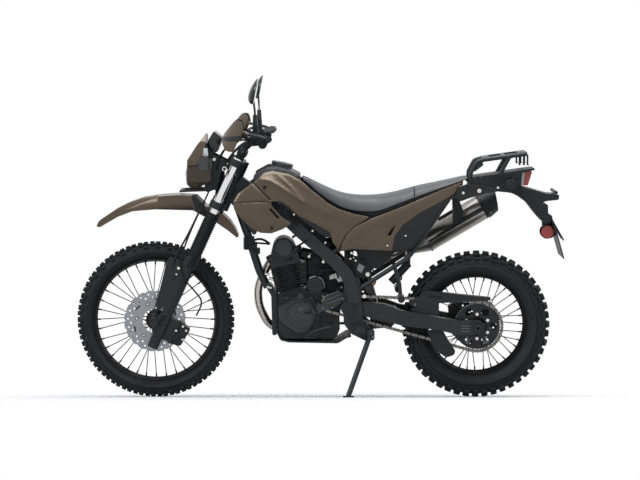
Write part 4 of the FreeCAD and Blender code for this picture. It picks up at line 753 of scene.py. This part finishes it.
# Instrument
# A small black moulded box with softened edges, on a bracket ahead of the handlebar,
# with its smoked glass facing the rider.
form = traced("instrument")
soften(form, 3.0, 2)
settle(form, "instrument_box", "steering", [gloss_black], 30.0, ["instrument"])


# Hand guards
# Brown moulded shields with a black band across their middle and black ends, where
# each is clamped to the handlebar and to the bar's end.
form = traced("hand_guards")
band_low = [(-400, 1116), (-292, 1118), (-253, 1100), (-160, 1100)]
band_high = [(-400, 1131), (-285, 1143), (-253, 1145), (-160, 1175)]
cut_line(form, band_low)
cut_line(form, band_high)
cut_by(form, (-268, 0, 0), (1, 0, 0))
paint_where(form, 1, lambda x, y, z: height_of(band_low, x) < z < height_of(band_high, x) or x > -268)
settle(form, "hand_guard_shields", "steering", [brown, moulded], 26.0, ["hand_guards"])


# Brake discs
# Wavy steel discs on black carriers. The front one has long slots and is held to its
# carrier by round buttons.

def block(form, low, high, paint=0):
    """A plain block between two corners."""
    made = bmesh.ops.create_cube(form, size=1)["verts"]
    span = [h - l for l, h in zip(low, high)]
    bmesh.ops.scale(form, vec=span, verts=made)
    bmesh.ops.translate(form, vec=[(l + h) / 2 for l, h in zip(low, high)], verts=made)
    for face in {face for vert in made for face in vert.link_faces}:
        face.material_index = paint
    return made


cast_black = finish("cast_black", (0.015, 0.016, 0.0175), 0.46, metal=0.15, grain=600.0, bump=0.10,
                    mottle=0.12, spec=0.3)
disc_face = finish("disc_face", (0.27, 0.275, 0.30), 0.34, metal=1.0, grain=1500.0, bump=0.06, mottle=0.08)
form = traced("front_disc")
front_carrier = 62
button_circle = 78
slot_circle = 92
paint_where(form, 1, lambda x, y, z: math.hypot(x - front_axle.x, z - front_axle.z) < front_carrier)
for number in range(6):
    slot = block(form, (-12, -52.6, -3.4), (12, -51.4, 3.4), paint=1)
    slot_turn = Matrix.Rotation(math.radians(60 * number + 8), 4, "Y")
    slot_tilt = Matrix.Rotation(math.radians(12), 4, "Y")
    slot_place = slot_turn @ Matrix.Translation((0, 0, slot_circle)) @ slot_tilt
    bmesh.ops.transform(form, matrix=Matrix.Translation(front_axle) @ slot_place, verts=slot)
    turn = math.radians(60 * number + 38)
    button = front_axle + Vector((math.sin(turn), 0, math.cos(turn))) * button_circle
    drum(form, button.x, button.z, 7.5, -54, -51.4, 24, paint=1)
    drum(form, button.x, button.z, 4.6, -55, -51.4, 24, paint=2)
settle(form, "front_disc_wavy", "front_wheel", [disc_face, cast_black, zinc], 30.0, ["front_disc"])
form = traced("rear_disc")
rear_carrier = 52
paint_where(form, 1, lambda x, y, z: math.hypot(x - rear_axle.x, z - rear_axle.z) < rear_carrier)
settle(form, "rear_disc_wavy", "rear_wheel", [disc_face, cast_black], 30.0, ["rear_disc"])


# Rear sprocket
# A steel ring of teeth, cut from plate, black inside the teeth and held to the hub by
# six zinc bolts.
bare_steel = finish("bare_steel", (0.30, 0.30, 0.30), 0.34, metal=1.0, grain=1200.0, bump=0.05, mottle=0.10)
form = traced("rear_sprocket")
tooth_root = 88
bolt_circle = 52
paint_where(form, 1, lambda x, y, z: math.hypot(x - rear_axle.x, z - rear_axle.z) < tooth_root)
for number in range(6):
    turn = math.radians(60 * number + 30)
    spot = rear_axle + Vector((math.cos(turn), 0, math.sin(turn))) * bolt_circle
    bolt(form, spot.x, -73, spot.z, 6.5, -1, paint=2)
settle(form, "rear_sprocket_toothed", "rear_wheel", [bare_steel, cast_black, zinc], 30.0,
       ["rear_sprocket"])


# Front caliper
# A black cast caliper bolted behind the fork leg, with zinc pins and screws and four
# ribs on its outer face.
form = traced("front_caliper")
for x, z in ((-561, 318), (-563, 262), (-548, 300), (-590, 300)):
    bolt(form, x, -97, z, 4.6, -1, paint=1)
for number in range(4):
    block(form, (-622 + number * 11, -99, 262), (-617 + number * 11, -96.5, 300), paint=0)
settle(form, "front_caliper_body", "steering", [cast_black, zinc], 30.0, ["front_caliper"])


# Fork guards and lower legs
# Cast lower legs with a black moulded plate over the outside of each, held by one large
# and two small zinc screws, and the nut of the axle in its clamp.
form = traced("fork_sliders")
guard = [(-612, 618, 8), (-556, 598, 10), (-552, 573, 14), (-589, 537, 20), (-613, 481, 20),
         (-634, 425, 12), (-652, 392, 16), (-684, 388, 10), (-667, 439, 20), (-649, 505, 20),
         (-626, 598, 10)]
for side in (-1, 1):
    plate(form, guard, *outward(side, 121, 126.5), paint=0)
    bolt(form, -576, side * 126, 570, 6.0, side, paint=1)
    for x, z in ((-672, 402), (-585, 544)):
        bolt(form, x, side * 126, z, 3.6, side, paint=1)
    bolt(form, front_axle.x, side * 120, front_axle.z, 11.0, side, paint=0)
settle(form, "lower_legs_and_guards", "steering", [cast_black, zinc], 30.0, ["fork_sliders"])


# Controls
# Black switch housings, levers with a ball end, ribbed grips and rubber boots on
# the mirror stems, an ignition switch by the upper clamp.
form = traced("hand_controls")
for side in (-1, 1):
    rod(form, (-247, side * 262, 1128), (-247, side * 262, 1176), 13, 20, 11)
    rod(form, (-236, side * 190, 1112), (-236, side * 214, 1112), 21, 24, 19)
    for number in range(12):
        drum(form, -214, 1103, 17.6, *outward(side, 300 + number * 8, 304 + number * 8), 20, paint=0)
settle(form, "controls_and_grips", "steering", [rubber_black], 30.0, ["hand_controls"])


# Cables at the head
# Black outer cables that stay on the steering: they leave the controls, pass behind
# the mask through its stays and end in the guides on the lower clamp.

def bent(form, points, radius, sides=12, smooth=6, order=3, paint=0):
    """A round rod or line along a smooth route, closed at both ends."""
    curve = bpy.data.curves.new("route", "CURVE")
    curve.dimensions = "3D"
    spline = curve.splines.new("NURBS")
    spline.points.add(len(points) - 1)
    for knot, point in zip(spline.points, points):
        knot.co = (*point, 1)
    spline.order_u = order
    spline.use_endpoint_u = True
    spline.resolution_u = smooth
    curve.bevel_depth = radius
    curve.bevel_resolution = max(1, sides // 4 - 1)
    curve.use_fill_caps = True
    carrier = bpy.data.objects.new("route", curve)
    bpy.context.scene.collection.objects.link(carrier)
    bpy.context.view_layer.update()
    mesh = bpy.data.meshes.new_from_object(carrier.evaluated_get(bpy.context.evaluated_depsgraph_get()))
    before = set(form.faces)
    form.from_mesh(mesh)
    for face in set(form.faces) - before:
        face.material_index = paint
    bpy.data.objects.remove(carrier)
    bpy.data.curves.remove(curve)
    bpy.data.meshes.remove(mesh)


form = bmesh.new()
outer_route = [(-262, 180, 1108), (-330, 150, 1118), (-400, 90, 1060), (-420, 58, 980), (-416, 56, 900),
               (-424, 66, 850)]
middle_route = [(-262, 170, 1100), (-310, 120, 1090), (-372, 72, 1030), (-400, 40, 950), (-408, 36, 880),
                (-430, 40, 838)]
inner_route = [(-258, 160, 1096), (-300, 100, 1060), (-350, 50, 1000), (-388, 20, 920), (-420, 20, 846)]
for side in (-1, 1):
    for route, radius in ((outer_route, 4.0), (middle_route, 4.6), (inner_route, 5.2)):
        bent(form, [(x, side * y, z) for x, y, z in route], radius, 12, 8, 4)
bent(form, [(-470, -112, 846), (-492, -118, 800), (-520, -122, 740), (-552, -126, 680), (-578, -128, 640),
            (-590, -127, 606), (-600, -126, 570)], 4.2, 12, 8, 4)
block(form, (-446, -44, 892), (-388, 44, 1010))
block(form, (-402, -60, 846), (-376, 60, 884))
for z in (908, 948, 990):
    drum(form, -417, z, 8, -52, 52, 12)
settle(form, "head_cables", "steering", [rubber_black], 35.0, [])


# Mirrors
# Gloss black leaf shaped shells on slim stems, each with a glass facing the rider
# and a rubber boot where the stem stands in the lever perch.
mirror_glass = finish("mirror_glass", (0.72, 0.74, 0.76), 0.05, metal=1.0, grain=400.0, bump=0.005,
                      mottle=0.02)
mirror_out = 332
mirror_level = 1315
mirror_half_width = 60
mirror_half_height = 52
form = bmesh.new()
for side in (-1, 1):
    boot = Vector((-247, side * 262, 1172))
    rod(form, boot, boot + Vector((-1, side * 4, 46)), 11, 20, 9)
    bent(form, [boot + Vector((-1, side * 4, 40)), boot + Vector((-2, side * 14, 74)),
                boot + Vector((-6, side * 46, 104)), boot + Vector((-6, side * 60, 124))], 4.6, 12, 8, 4)
    head = bmesh.ops.create_uvsphere(form, u_segments=40, v_segments=24, radius=1)["verts"]
    for vert in head:
        x, y, z = vert.co
        if x > 0:
            x *= 0.22
        rise = 0.5 + z / 2
        thin = 1.0 - 0.45 * rise
        wide = mirror_half_width * (1 - 0.16 * rise)
        vert.co = (-245 + x * 32 * thin + 22 * (rise - 0.45), side * (mirror_out + y * wide),
                   mirror_level + z * mirror_half_height)
    for face in {face for vert in head for face in vert.link_faces}:
        face.smooth = True
        middle = face.calc_center_median()
        across_share = (middle.y * side - mirror_out) / mirror_half_width
        up_share = (middle.z - mirror_level) / mirror_half_height
        behind = middle.x > -240 + 20 * (middle.z - 1290) / 104
        if face.normal.x > 0.5 or (behind and math.hypot(across_share, up_share) < 0.86):
            face.material_index = 1
settle(form, "mirror_shells", "steering", [gloss_black, mirror_glass, rubber_black], 40.0, ["mirrors"])


# Tail lamp, signals and reflectors
# A red tail lamp with a clear edge, black round signals with a smoked glass on
# short stalks and round red reflectors on the plate arm.
red_glass = finish("red_lens", (0.42, 0.010, 0.008), 0.16, grain=500.0, bump=0.05, mottle=0.10, coat=0.5)
form = traced("rear_lamps")
cut_by(form, (862, 0, 0), (1, 0, 0))
paint_where(form, 1, lambda x, y, z: z > 850 and abs(y) > 50)
cut_by(form, (874, 0, 900), (1, 0, -0.1))
paint_where(form, 2, lambda x, y, z: z > 850 and abs(y) < 50 and x - 0.1 * (z - 900) < 874)
for side in (-1, 1):
    drum(form, 982, 712, 30, *outward(side, 13.5, 15.5), 32, paint=1)
    drum(form, 813, 922, 21, *outward(side, 146, 160), 28, 17, paint=1)
settle(form, "tail_lamp_and_signals", "chassis", [red_glass, moulded, clear_lens], 30.0, ["rear_lamps"])


# Tail moulding
# The thin black blade of the tail with a stub lamp over the plate arm, and bolts
# through its root.
form = traced("rear_fender")
for side in (-1, 1):
    bolt(form, 765, side * 80, 905, 5.0, side, paint=1)
drum(form, 1010, 884, 7, -80, 80, 16, paint=0)
settle(form, "tail_moulding", "chassis", [moulded, zinc], 30.0, ["rear_fender"])


# Silencer
# A brushed barrel with a cone at its inlet, a dark seam ring, a black slanted end
# cap and a black strap and hanger.
dull_steel = finish("dull_steel", (0.13, 0.13, 0.135), 0.38, metal=1.0, grain=900.0, bump=0.08, mottle=0.15)


def muffler_black(x, y, z):
    """True on the end cap and on the hanger, which stands off the barrel."""
    place = Vector((x, y, z)) - muffler_start
    along = place.dot(muffler_way)
    return along > muffler_barrel or (place - muffler_way * along).length > 57.5 or (y < 118 and x > 560)


brushed = finish("silencer_steel", (0.255, 0.25, 0.235), 0.30, metal=1.0, grain=1200.0, bump=0.05,
                 mottle=0.12)
form = traced("muffler")
muffler_start = Vector((479, 172, 658))
muffler_way = Vector((math.cos(math.radians(30.7)), 0, math.sin(math.radians(30.7))))
muffler_up = Vector((-muffler_way.z, 0, muffler_way.x))
muffler_barrel = 275
cut_by(form, muffler_start + muffler_way * muffler_barrel, muffler_way)
paint_where(form, 1, muffler_black)

# the dark seam ring behind the cone
mark_drawn(form)
turned(form, [(55, 0), (57.4, 0.8), (57.4, 8.2), (55, 9), (50, 9), (50, 0)], 64)
for face in {face for vert in fresh_verts(form) for face in vert.link_faces}:
    face.material_index = 2
raised = fresh_verts(form)
barrel_turn = Matrix((muffler_up, muffler_way, (0, 1, 0))).transposed().to_4x4()
bmesh.ops.transform(form, matrix=Matrix.Translation(muffler_start - muffler_way * 4) @ barrel_turn,
                    verts=raised)

# the black end cap, cut off at a slant
cap_from = muffler_start + muffler_way * 286
cap_to = muffler_start + muffler_way * 332
cap = rod(form, cap_from, cap_to, 58.5, 56, 50, paint=1)
for vert in cap:
    place = vert.co - muffler_start
    lift = place.dot(muffler_up)
    along = place.dot(muffler_way)
    if along > 310:
        vert.co += muffler_way * (0.36 * (lift + 50))

# the hanger's rail, and the two screws of the cap
rail = block(form, (-34, 0, -3), (46, 22, 5), paint=1)
rail_turn = Matrix((muffler_way, (0, 1, 0), muffler_up)).transposed().to_4x4()
rail_place = muffler_start + muffler_way * 122 + muffler_up * 53 + Vector((0, -28, 0))
bmesh.ops.transform(form, matrix=Matrix.Translation(rail_place) @ rail_turn, verts=rail)
for along, lift in ((300, -34), (300, 34)):
    spot = muffler_start + muffler_way * along + muffler_up * lift
    bolt(form, spot.x, spot.y - 46, spot.z, 3.6, -1, paint=2)
settle(form, "silencer", "chassis", [brushed, moulded, dull_steel], 30.0, ["muffler"])


# Engine covers
# Cast black covers on the left: the round generator cover with its two plugs and
# a ring of bolts, the starter's cap and the leaf shaped sprocket cover with ribs.
cover_satin = finish("cover_satin", (0.030, 0.033, 0.036), 0.36, metal=0.2, grain=700.0, bump=0.08,
                     mottle=0.10, spec=0.35)
crank_x = -72
crank_z = 390
form = traced("engine_covers")

# the round generator cover: its ring of bolts, two plugs and two raised circles
for number in range(9):
    turn = math.radians(40 * number + 10)
    bolt(form, crank_x + 76 * math.cos(turn), -128, crank_z + 4 + 66 * math.sin(turn), 4.4, -1, paint=0,
         height=7)
drum(form, -65, 452, 13, -140, -130, 24, 12, paint=2)
drum(form, -65, 452, 7, -141.5, -130, 6, paint=2)
drum(form, -63, 399, 17, -142, -136, 28, 16, paint=0)
block(form, (-69, -143, 397), (-57, -140, 401), paint=1)
for radius in (58, 46):
    mark_drawn(form)
    turned(form, [(radius, -136.4), (radius, -138.2), (radius - 2.5, -138.2), (radius - 2.5, -136.4)], 60,
           (crank_x, 0, crank_z))

# the sprocket cover: three ribs and five screws
rib_step = 16
for number in range(3):
    low = Vector((48 - number * 4, -138, 418 + number * rib_step))
    rod(form, low, low + Vector((58, 0, 26)), 3.2, 10, 2.0, paint=0)
for x, z in ((30, 402), (30, 452), (108, 490), (112, 442), (70, 404)):
    bolt(form, x, -131, z, 4.2, -1, paint=1, height=5)
settle(form, "engine_left_covers", "chassis", [cover_satin, dull_steel, gloss_black], 30.0,
       ["engine_covers"])


# Cylinder and head
# A finned air cooled cylinder under a head with a round cover, bolts at its foot,
# a plug cap and the header's flange.
head_x = -136
head_z = 651
form = traced("cylinder")
drum(form, head_x, head_z, 34, -80, -74, 44, 31, paint=1)
for number in range(3):
    turn = math.radians(120 * number + 75)
    bolt(form, head_x + 38 * math.cos(turn), -72, head_z + 38 * math.sin(turn), 4.6, -1, paint=1, height=6)
for x, z in ((-172, 468), (-60, 492), (-190, 600), (-84, 622)):
    bolt(form, x, -70, z, 5.2, -1, paint=1, height=7)
for x, z in ((-196, 532), (-180, 512), (-188, 476)):
    rod(form, (x, -42, z), (x - 20, -42, z + 4), 6.5, 12, paint=2)
rod(form, (-92, -66, 640), (-72, -86, 652), 9, 16, 7, paint=1)
settle(form, "finned_cylinder", "chassis", [cast_black, cover_satin, zinc], 30.0, ["cylinder"])


# Engine fittings
# Hoses, leads and clamps around the cylinder and behind it, all fixed at both ends,
# with the carburettor, the starter's ring and the horn ahead of the down tube.
plug_lead = [(-92, -80, 650), (-60, -92, 668), (-30, -84, 690), (0, -66, 705), (30, -50, 712)]
head_breather = [(-196, -30, 660), (-226, -36, 668), (-252, -28, 662), (-262, -14, 668)]
fuel_line = [(-100, -46, 690), (-70, -52, 716), (-20, -58, 706), (30, -60, 668), (80, -64, 622),
             (110, -66, 590)]
choke_lead = [(-60, -70, 620), (-20, -74, 640), (30, -72, 618), (70, -70, 588), (98, -68, 560)]
starter_lead = [(-3, -60, 512), (10, -66, 540), (34, -66, 556), (64, -64, 560), (96, -62, 548)]
case_breather = [(20, -60, 690), (34, -72, 640), (60, -76, 600), (84, -74, 560), (96, -70, 520)]
drain_hose = [(-40, -40, 700), (0, -42, 672), (34, -40, 640), (60, -36, 600), (72, -30, 560)]
spar_loom = [(-70, -34, 722), (-30, -40, 712), (14, -44, 668), (58, -44, 622), (92, -44, 576),
             (112, -40, 530)]
air_duct = [(-84, -16, 716), (-40, -20, 690), (0, -20, 650), (30, -20, 616)]
far_loom = [(-60, 10, 716), (-10, 14, 690), (40, 16, 640), (84, 16, 592), (106, 16, 548)]
horn_lead = [(-262, -22, 676), (-238, -34, 690), (-214, -36, 680), (-196, -34, 662)]
spar_cover = [(-117, 822, 6), (-67, 812, 6), (34, 704, 10), (72, 650, 6), (17, 668, 10), (-58, 718, 10),
              (-113, 776, 8)]
back_cover = [(-42, 585, 8), (9, 602, 8), (124, 559, 8), (134, 400, 8), (43, 400, 8), (-42, 422, 8)]
clamp_plate = [(60, 512, 3), (58, 530, 4), (84, 534, 4), (110, 534, 4), (114, 512, 4), (96, 500, 4),
               (86, 520, 6), (70, 516, 3)]
form = bmesh.new()
for route, radius, sides in (
    (plug_lead, 4.2, 12), (head_breather, 4.0, 12), (fuel_line, 5.0, 12), (choke_lead, 4.0, 12),
    (starter_lead, 5.0, 12), (case_breather, 3.6, 12), (drain_hose, 6.0, 12), (spar_loom, 13, 16),
    (air_duct, 16, 16), (far_loom, 12, 16),
):
    bent(form, route, radius, sides, 8, 4)
plate(form, spar_cover, -74, -60)
for x, z in ((-92, 792), (-14, 722), (40, 672)):
    drum(form, x, z, 4.2, -78, -72, 12, paint=1)
plate(form, back_cover, -34, -20)

# the horn with its rings and its lead
block(form, (-304, -26, 636), (-262, 26, 690))
for number in range(5):
    block(form, (-308, -24, 640 + number * 10), (-262, 24, 644 + number * 10))
bent(form, horn_lead, 5, 12, 8, 4)
for x, z in ((-262, 652), (-250, 628)):
    block(form, (x - 10, -30, z - 10), (x + 12, 30, z + 12))

# the carburettor between its two rubber sleeves
rod(form, (-64, -22, 622), (-6, -22, 606), 27, 28)
rod(form, (-6, -22, 606), (36, -22, 596), 22, 28, 25)
rod(form, (36, -22, 596), (46, -22, 593), 28, 28)
for low, high in (
    ((-20, -52, 574), (22, -8, 640)), ((-34, -46, 528), (30, -12, 592)), ((30, -40, 560), (64, -14, 590)),
):
    block(form, low, high)
rod(form, (-8, -30, 530), (-8, -30, 516), 20, 24, 14)
block(form, (-178, -30, 300), (-160, 30, 462))

# the starter's bright ring, a relay with its clips and the clamps of the looms
starter = Vector((-3, -62, 489))
for turn in range(-20, 130, 10):
    low, high = (
        starter + 38 * Vector((math.cos(math.radians(angle)), 0, math.sin(math.radians(angle))))
        for angle in (turn, turn + 10))
    rod(form, low, high, 2.6, 8, paint=2)
drum(form, 0, 596, 17, -62, -50, 24)
for x, z in ((-29, 612), (31, 589)):
    drum(form, x, z, 5.5, -66, -58, 12, paint=1)
rod(form, (-33, -50, 606), (-22, -50, 622), 3.5, 10, paint=1)
rod(form, (24, -50, 586), (36, -50, 600), 3.5, 10, paint=1)
for x, z, size in ((72, 528, 8), (84, 536, 5), (108, 512, 7), (62, 520, 5), (96, 520, 4)):
    drum(form, x, z, size, -58, -48, 16, paint=2)
block(form, (56, -56, 508), (116, -36, 540), paint=0)
plate(form, clamp_plate, -60, -56, paint=2)
settle(form, "engine_hoses_and_leads", "chassis", [rubber_black, zinc, bare_steel], 35.0, [])


# Wiring and fuse box
# Black boxes behind the spar with a grey tag, two looms that enter them from above
# and small zinc clips.
label_grey = finish("part_tag_grey", (0.26, 0.26, 0.29), 0.42, grain=800.0, bump=0.05, mottle=0.08)
form = bmesh.new()
plate(form, [(182, 585, 2), (206, 570, 2), (193, 542, 2), (172, 557, 2)], -74, -68, paint=1)
block(form, (150, -68, 520), (236, -24, 600))
block(form, (120, -60, 560), (158, -30, 640))
bent(form, [(120, -66, 640), (150, -72, 610), (160, -74, 560), (176, -74, 520), (190, -70, 490)], 5, 12,
     8, 4)
bent(form, [(140, -66, 630), (170, -76, 604), (214, -78, 590), (240, -74, 560), (250, -70, 540)], 4, 12,
     8, 4)
for x, z, size in ((150, 628, 5), (160, 627, 4), (146, 604, 4), (168, 596, 4)):
    drum(form, x, z, size, -78, -66, 12, paint=2)
settle(form, "wiring_and_fuse_box", "chassis", [moulded, label_grey, zinc], 35.0, [])


# Chain
# Oiled steel links of a roller chain: rounded side plates, two to a pin, over the
# rollers, all round both sprockets.
chain_steel = finish("chain_steel", (0.17, 0.165, 0.155), 0.36, metal=1.0, grain=900.0, bump=0.08,
                     mottle=0.25)
chain_dark = finish("chain_dark", (0.035, 0.034, 0.032), 0.45, metal=0.8, grain=900.0, bump=0.08,
                    mottle=0.25)
chain_pitch = 15.875
drive_teeth = 14
driven_teeth = 42
chain_line = -70
plate_round = 6.6
plate_waist = 4.2
drive = Vector((64, 0, 414))
small = chain_pitch / (2 * math.sin(math.pi / drive_teeth))
large = chain_pitch / (2 * math.sin(math.pi / driven_teeth))
apart = (rear_axle - drive).length
tilt = math.atan2(rear_axle.z - drive.z, rear_axle.x - drive.x)
wrap = math.acos((small - large) / apart)
run = math.sqrt(apart ** 2 - (large - small) ** 2)
round_back = 2 * large * wrap
loop = 2 * run + round_back + 2 * small * (math.pi - wrap)
link_count = 2 * round(loop / chain_pitch / 2)
pins = []
for number in range(link_count):
    gone = loop * number / link_count
    if gone < run:
        centre, radius, angle, ahead = drive, small, tilt + wrap, gone
    elif gone < run + round_back:
        centre, radius, angle, ahead = rear_axle, large, tilt + wrap - (gone - run) / large, 0
    elif gone < 2 * run + round_back:
        centre, radius, angle, ahead = rear_axle, large, tilt - wrap, gone - run - round_back
    else:
        centre, radius, angle, ahead = drive, small, tilt - wrap - (gone - 2 * run - round_back) / small, 0
    out = Vector((math.cos(angle), 0, math.sin(angle)))
    pins.append(centre + out * radius + Vector((math.sin(angle), 0, -math.cos(angle))) * ahead)
form = bmesh.new()
for number, pin in enumerate(pins):
    after = pins[(number + 1) % link_count]
    way = (after - pin).normalized()
    up = Vector((-way.z, 0, way.x))
    wide = number % 2
    near, far = (7.4, 9.4) if wide else (5.0, 7.0)
    edge = []
    for eye, first_turn, waist_lift in ((pin, 90, -plate_waist), (after, -90, plate_waist)):
        for step in range(5):
            turn = math.radians(first_turn + 45 * step)
            edge.append(eye + (way * math.cos(turn) + up * math.sin(turn)) * plate_round)
        edge.append((pin + after) / 2 + up * waist_lift)
    for low, high in ((chain_line - far, chain_line - near), (chain_line + near, chain_line + far)):
        plate(form, [(spot.x, spot.z) for spot in edge], low, high, paint=0 if wide else 1)
    drum(form, pin.x, pin.z, 2.4, chain_line - 10.6, chain_line + 10.6, 8, paint=0)
    drum(form, pin.x, pin.z, 4.6, chain_line - 5, chain_line + 5, 10, paint=1)
settle(form, "roller_chain", "chassis", [chain_steel, chain_dark], 35.0, ["chain"])


# Frame bolts
# Heads of the through bolts, the rings around the swingarm's pivot and the shock's
# eye, the cover of the grab plate, the chain adjuster's marks and a black plate
# painted on the guard as the shade in its slot.
copper = finish("copper_ring", (0.42, 0.13, 0.08), 0.34, metal=0.8, grain=900.0, bump=0.05, mottle=0.15)
pivot_x = 131
pivot_z = 401
shock_x = 240
shock_z = 503
form = bmesh.new()

# the rings and the nut of the swingarm's pivot
drum(form, pivot_x, pivot_z, 27, -126, -117, 40, 25, paint=0)
drum(form, pivot_x, pivot_z, 19, -128, -117, 40, 18, paint=0)
bolt(form, pivot_x, -127, pivot_z, 10, -1, paint=0)

# zinc bolts of the spar and the subframe, and the cover of the grab plate
zinc_bolts = [(218, -106, 541, 8.5), (204, -112, 449, 8.0), (198, -112, 469, 4.5), (685, -96, 893, 8.5),
              (618, -96, 884, 5.5)]
for x, y, z, size in zinc_bolts:
    bolt(form, x, y, z, size, -1, paint=2)
for x, z in ((590, 868), (690, 915), (640, 905)):
    bolt(form, x, -90, z, 5.0, -1, paint=0)
plate(form, [(583, 872, 4), (596, 906, 6), (652, 922, 6), (700, 918, 6), (760, 906, 6), (756, 890, 6),
             (700, 878, 8), (648, 862, 8), (606, 846, 8)], -86, -80, paint=0)

# the shock's upper eye with its copper ring, and a small hook behind it
drum(form, shock_x, shock_z, 15, -62, -50, 32, paint=0)
drum(form, shock_x, shock_z, 10, -64, -50, 32, paint=3)
drum(form, shock_x, shock_z, 6, -65, -50, 24, paint=1)
rod(form, (352, -20, 520), (366, -20, 508), 2.4, 10)
bent(form, [(353, -8, 536), (368, -8, 522), (366, -8, 504), (350, -8, 498), (338, -8, 506)], 3.2, 10, 8, 4)
rod(form, (338, -19, 520), (352, -19, 534), 3.0, 10, paint=2)

# raised marks of the chain adjusters, then the painted shade of the chain guard's slot and its screw
for side in (-1, 1):
    left, right = outward(side, 110, 112)
    for number in range(3):
        low = 299 + number * 11
        block(form, (612, left, low), (664 + number * 8, right, low + 2.4), paint=1)
# painted shade: a thin black plate on the guard's face where its slot lies in shadow
plate(form, [(474, 452, 3), (532, 446, 3), (532, 438, 3), (480, 441, 3)], -95.2, -93, paint=4)
drum(form, 418, 412, 5.0, -98, -93, 16, paint=1)
settle(form, "frame_fasteners", "chassis", [cast_black, dull_steel, zinc, copper, rubber_black], 30.0, [])


# Finishes of the pieces that keep the frame's own shape
# Painted steel tube, chromed fork tubes, cast and moulded black pieces and rubber: each
# takes the finish that the photograph shows for it.
paint_black = finish("frame_paint", (0.014, 0.016, 0.018), 0.40, grain=1400.0, bump=0.03, mottle=0.10,
                     spec=0.3)
pipe_steel = finish("pipe_steel", (0.46, 0.44, 0.41), 0.24, metal=1.0, grain=1200.0, bump=0.03, mottle=0.10)
bright = finish("bright_metal", (0.74, 0.74, 0.75), 0.14, metal=1.0, grain=1600.0, bump=0.01, mottle=0.04)
kept_finishes = {"fork_gaiters": rubber_black, "fork_tubes": bright, "triple_clamps": cast_black,
                 "front_axle": cast_black, "headlight_lens": clear_lens, "handlebar": paint_black,
                 "front_signals": dark_lens, "brake_hose": rubber_black, "frame": paint_black,
                 "subframe": paint_black, "swingarm": paint_black, "swingarm_bolt": cast_black,
                 "rear_axle": cast_black, "engine_case": cast_black, "intake": moulded,
                 "chain_guard": moulded, "skid_plate": cast_black, "foot_pegs": cast_black,
                 "foot_pedals": cast_black, "exhaust_pipe": pipe_steel, "fuel_tank": moulded,
                 "rear_rack": paint_black, "rear_shock": gloss_black, "canister": moulded,
                 "rear_caliper": cast_black, "side_stand": paint_black,}
for node, thing in frame["nodes"].items():
    if node in kept_finishes:
        thing.data.materials.clear()
        thing.data.materials.append(kept_finishes[node])
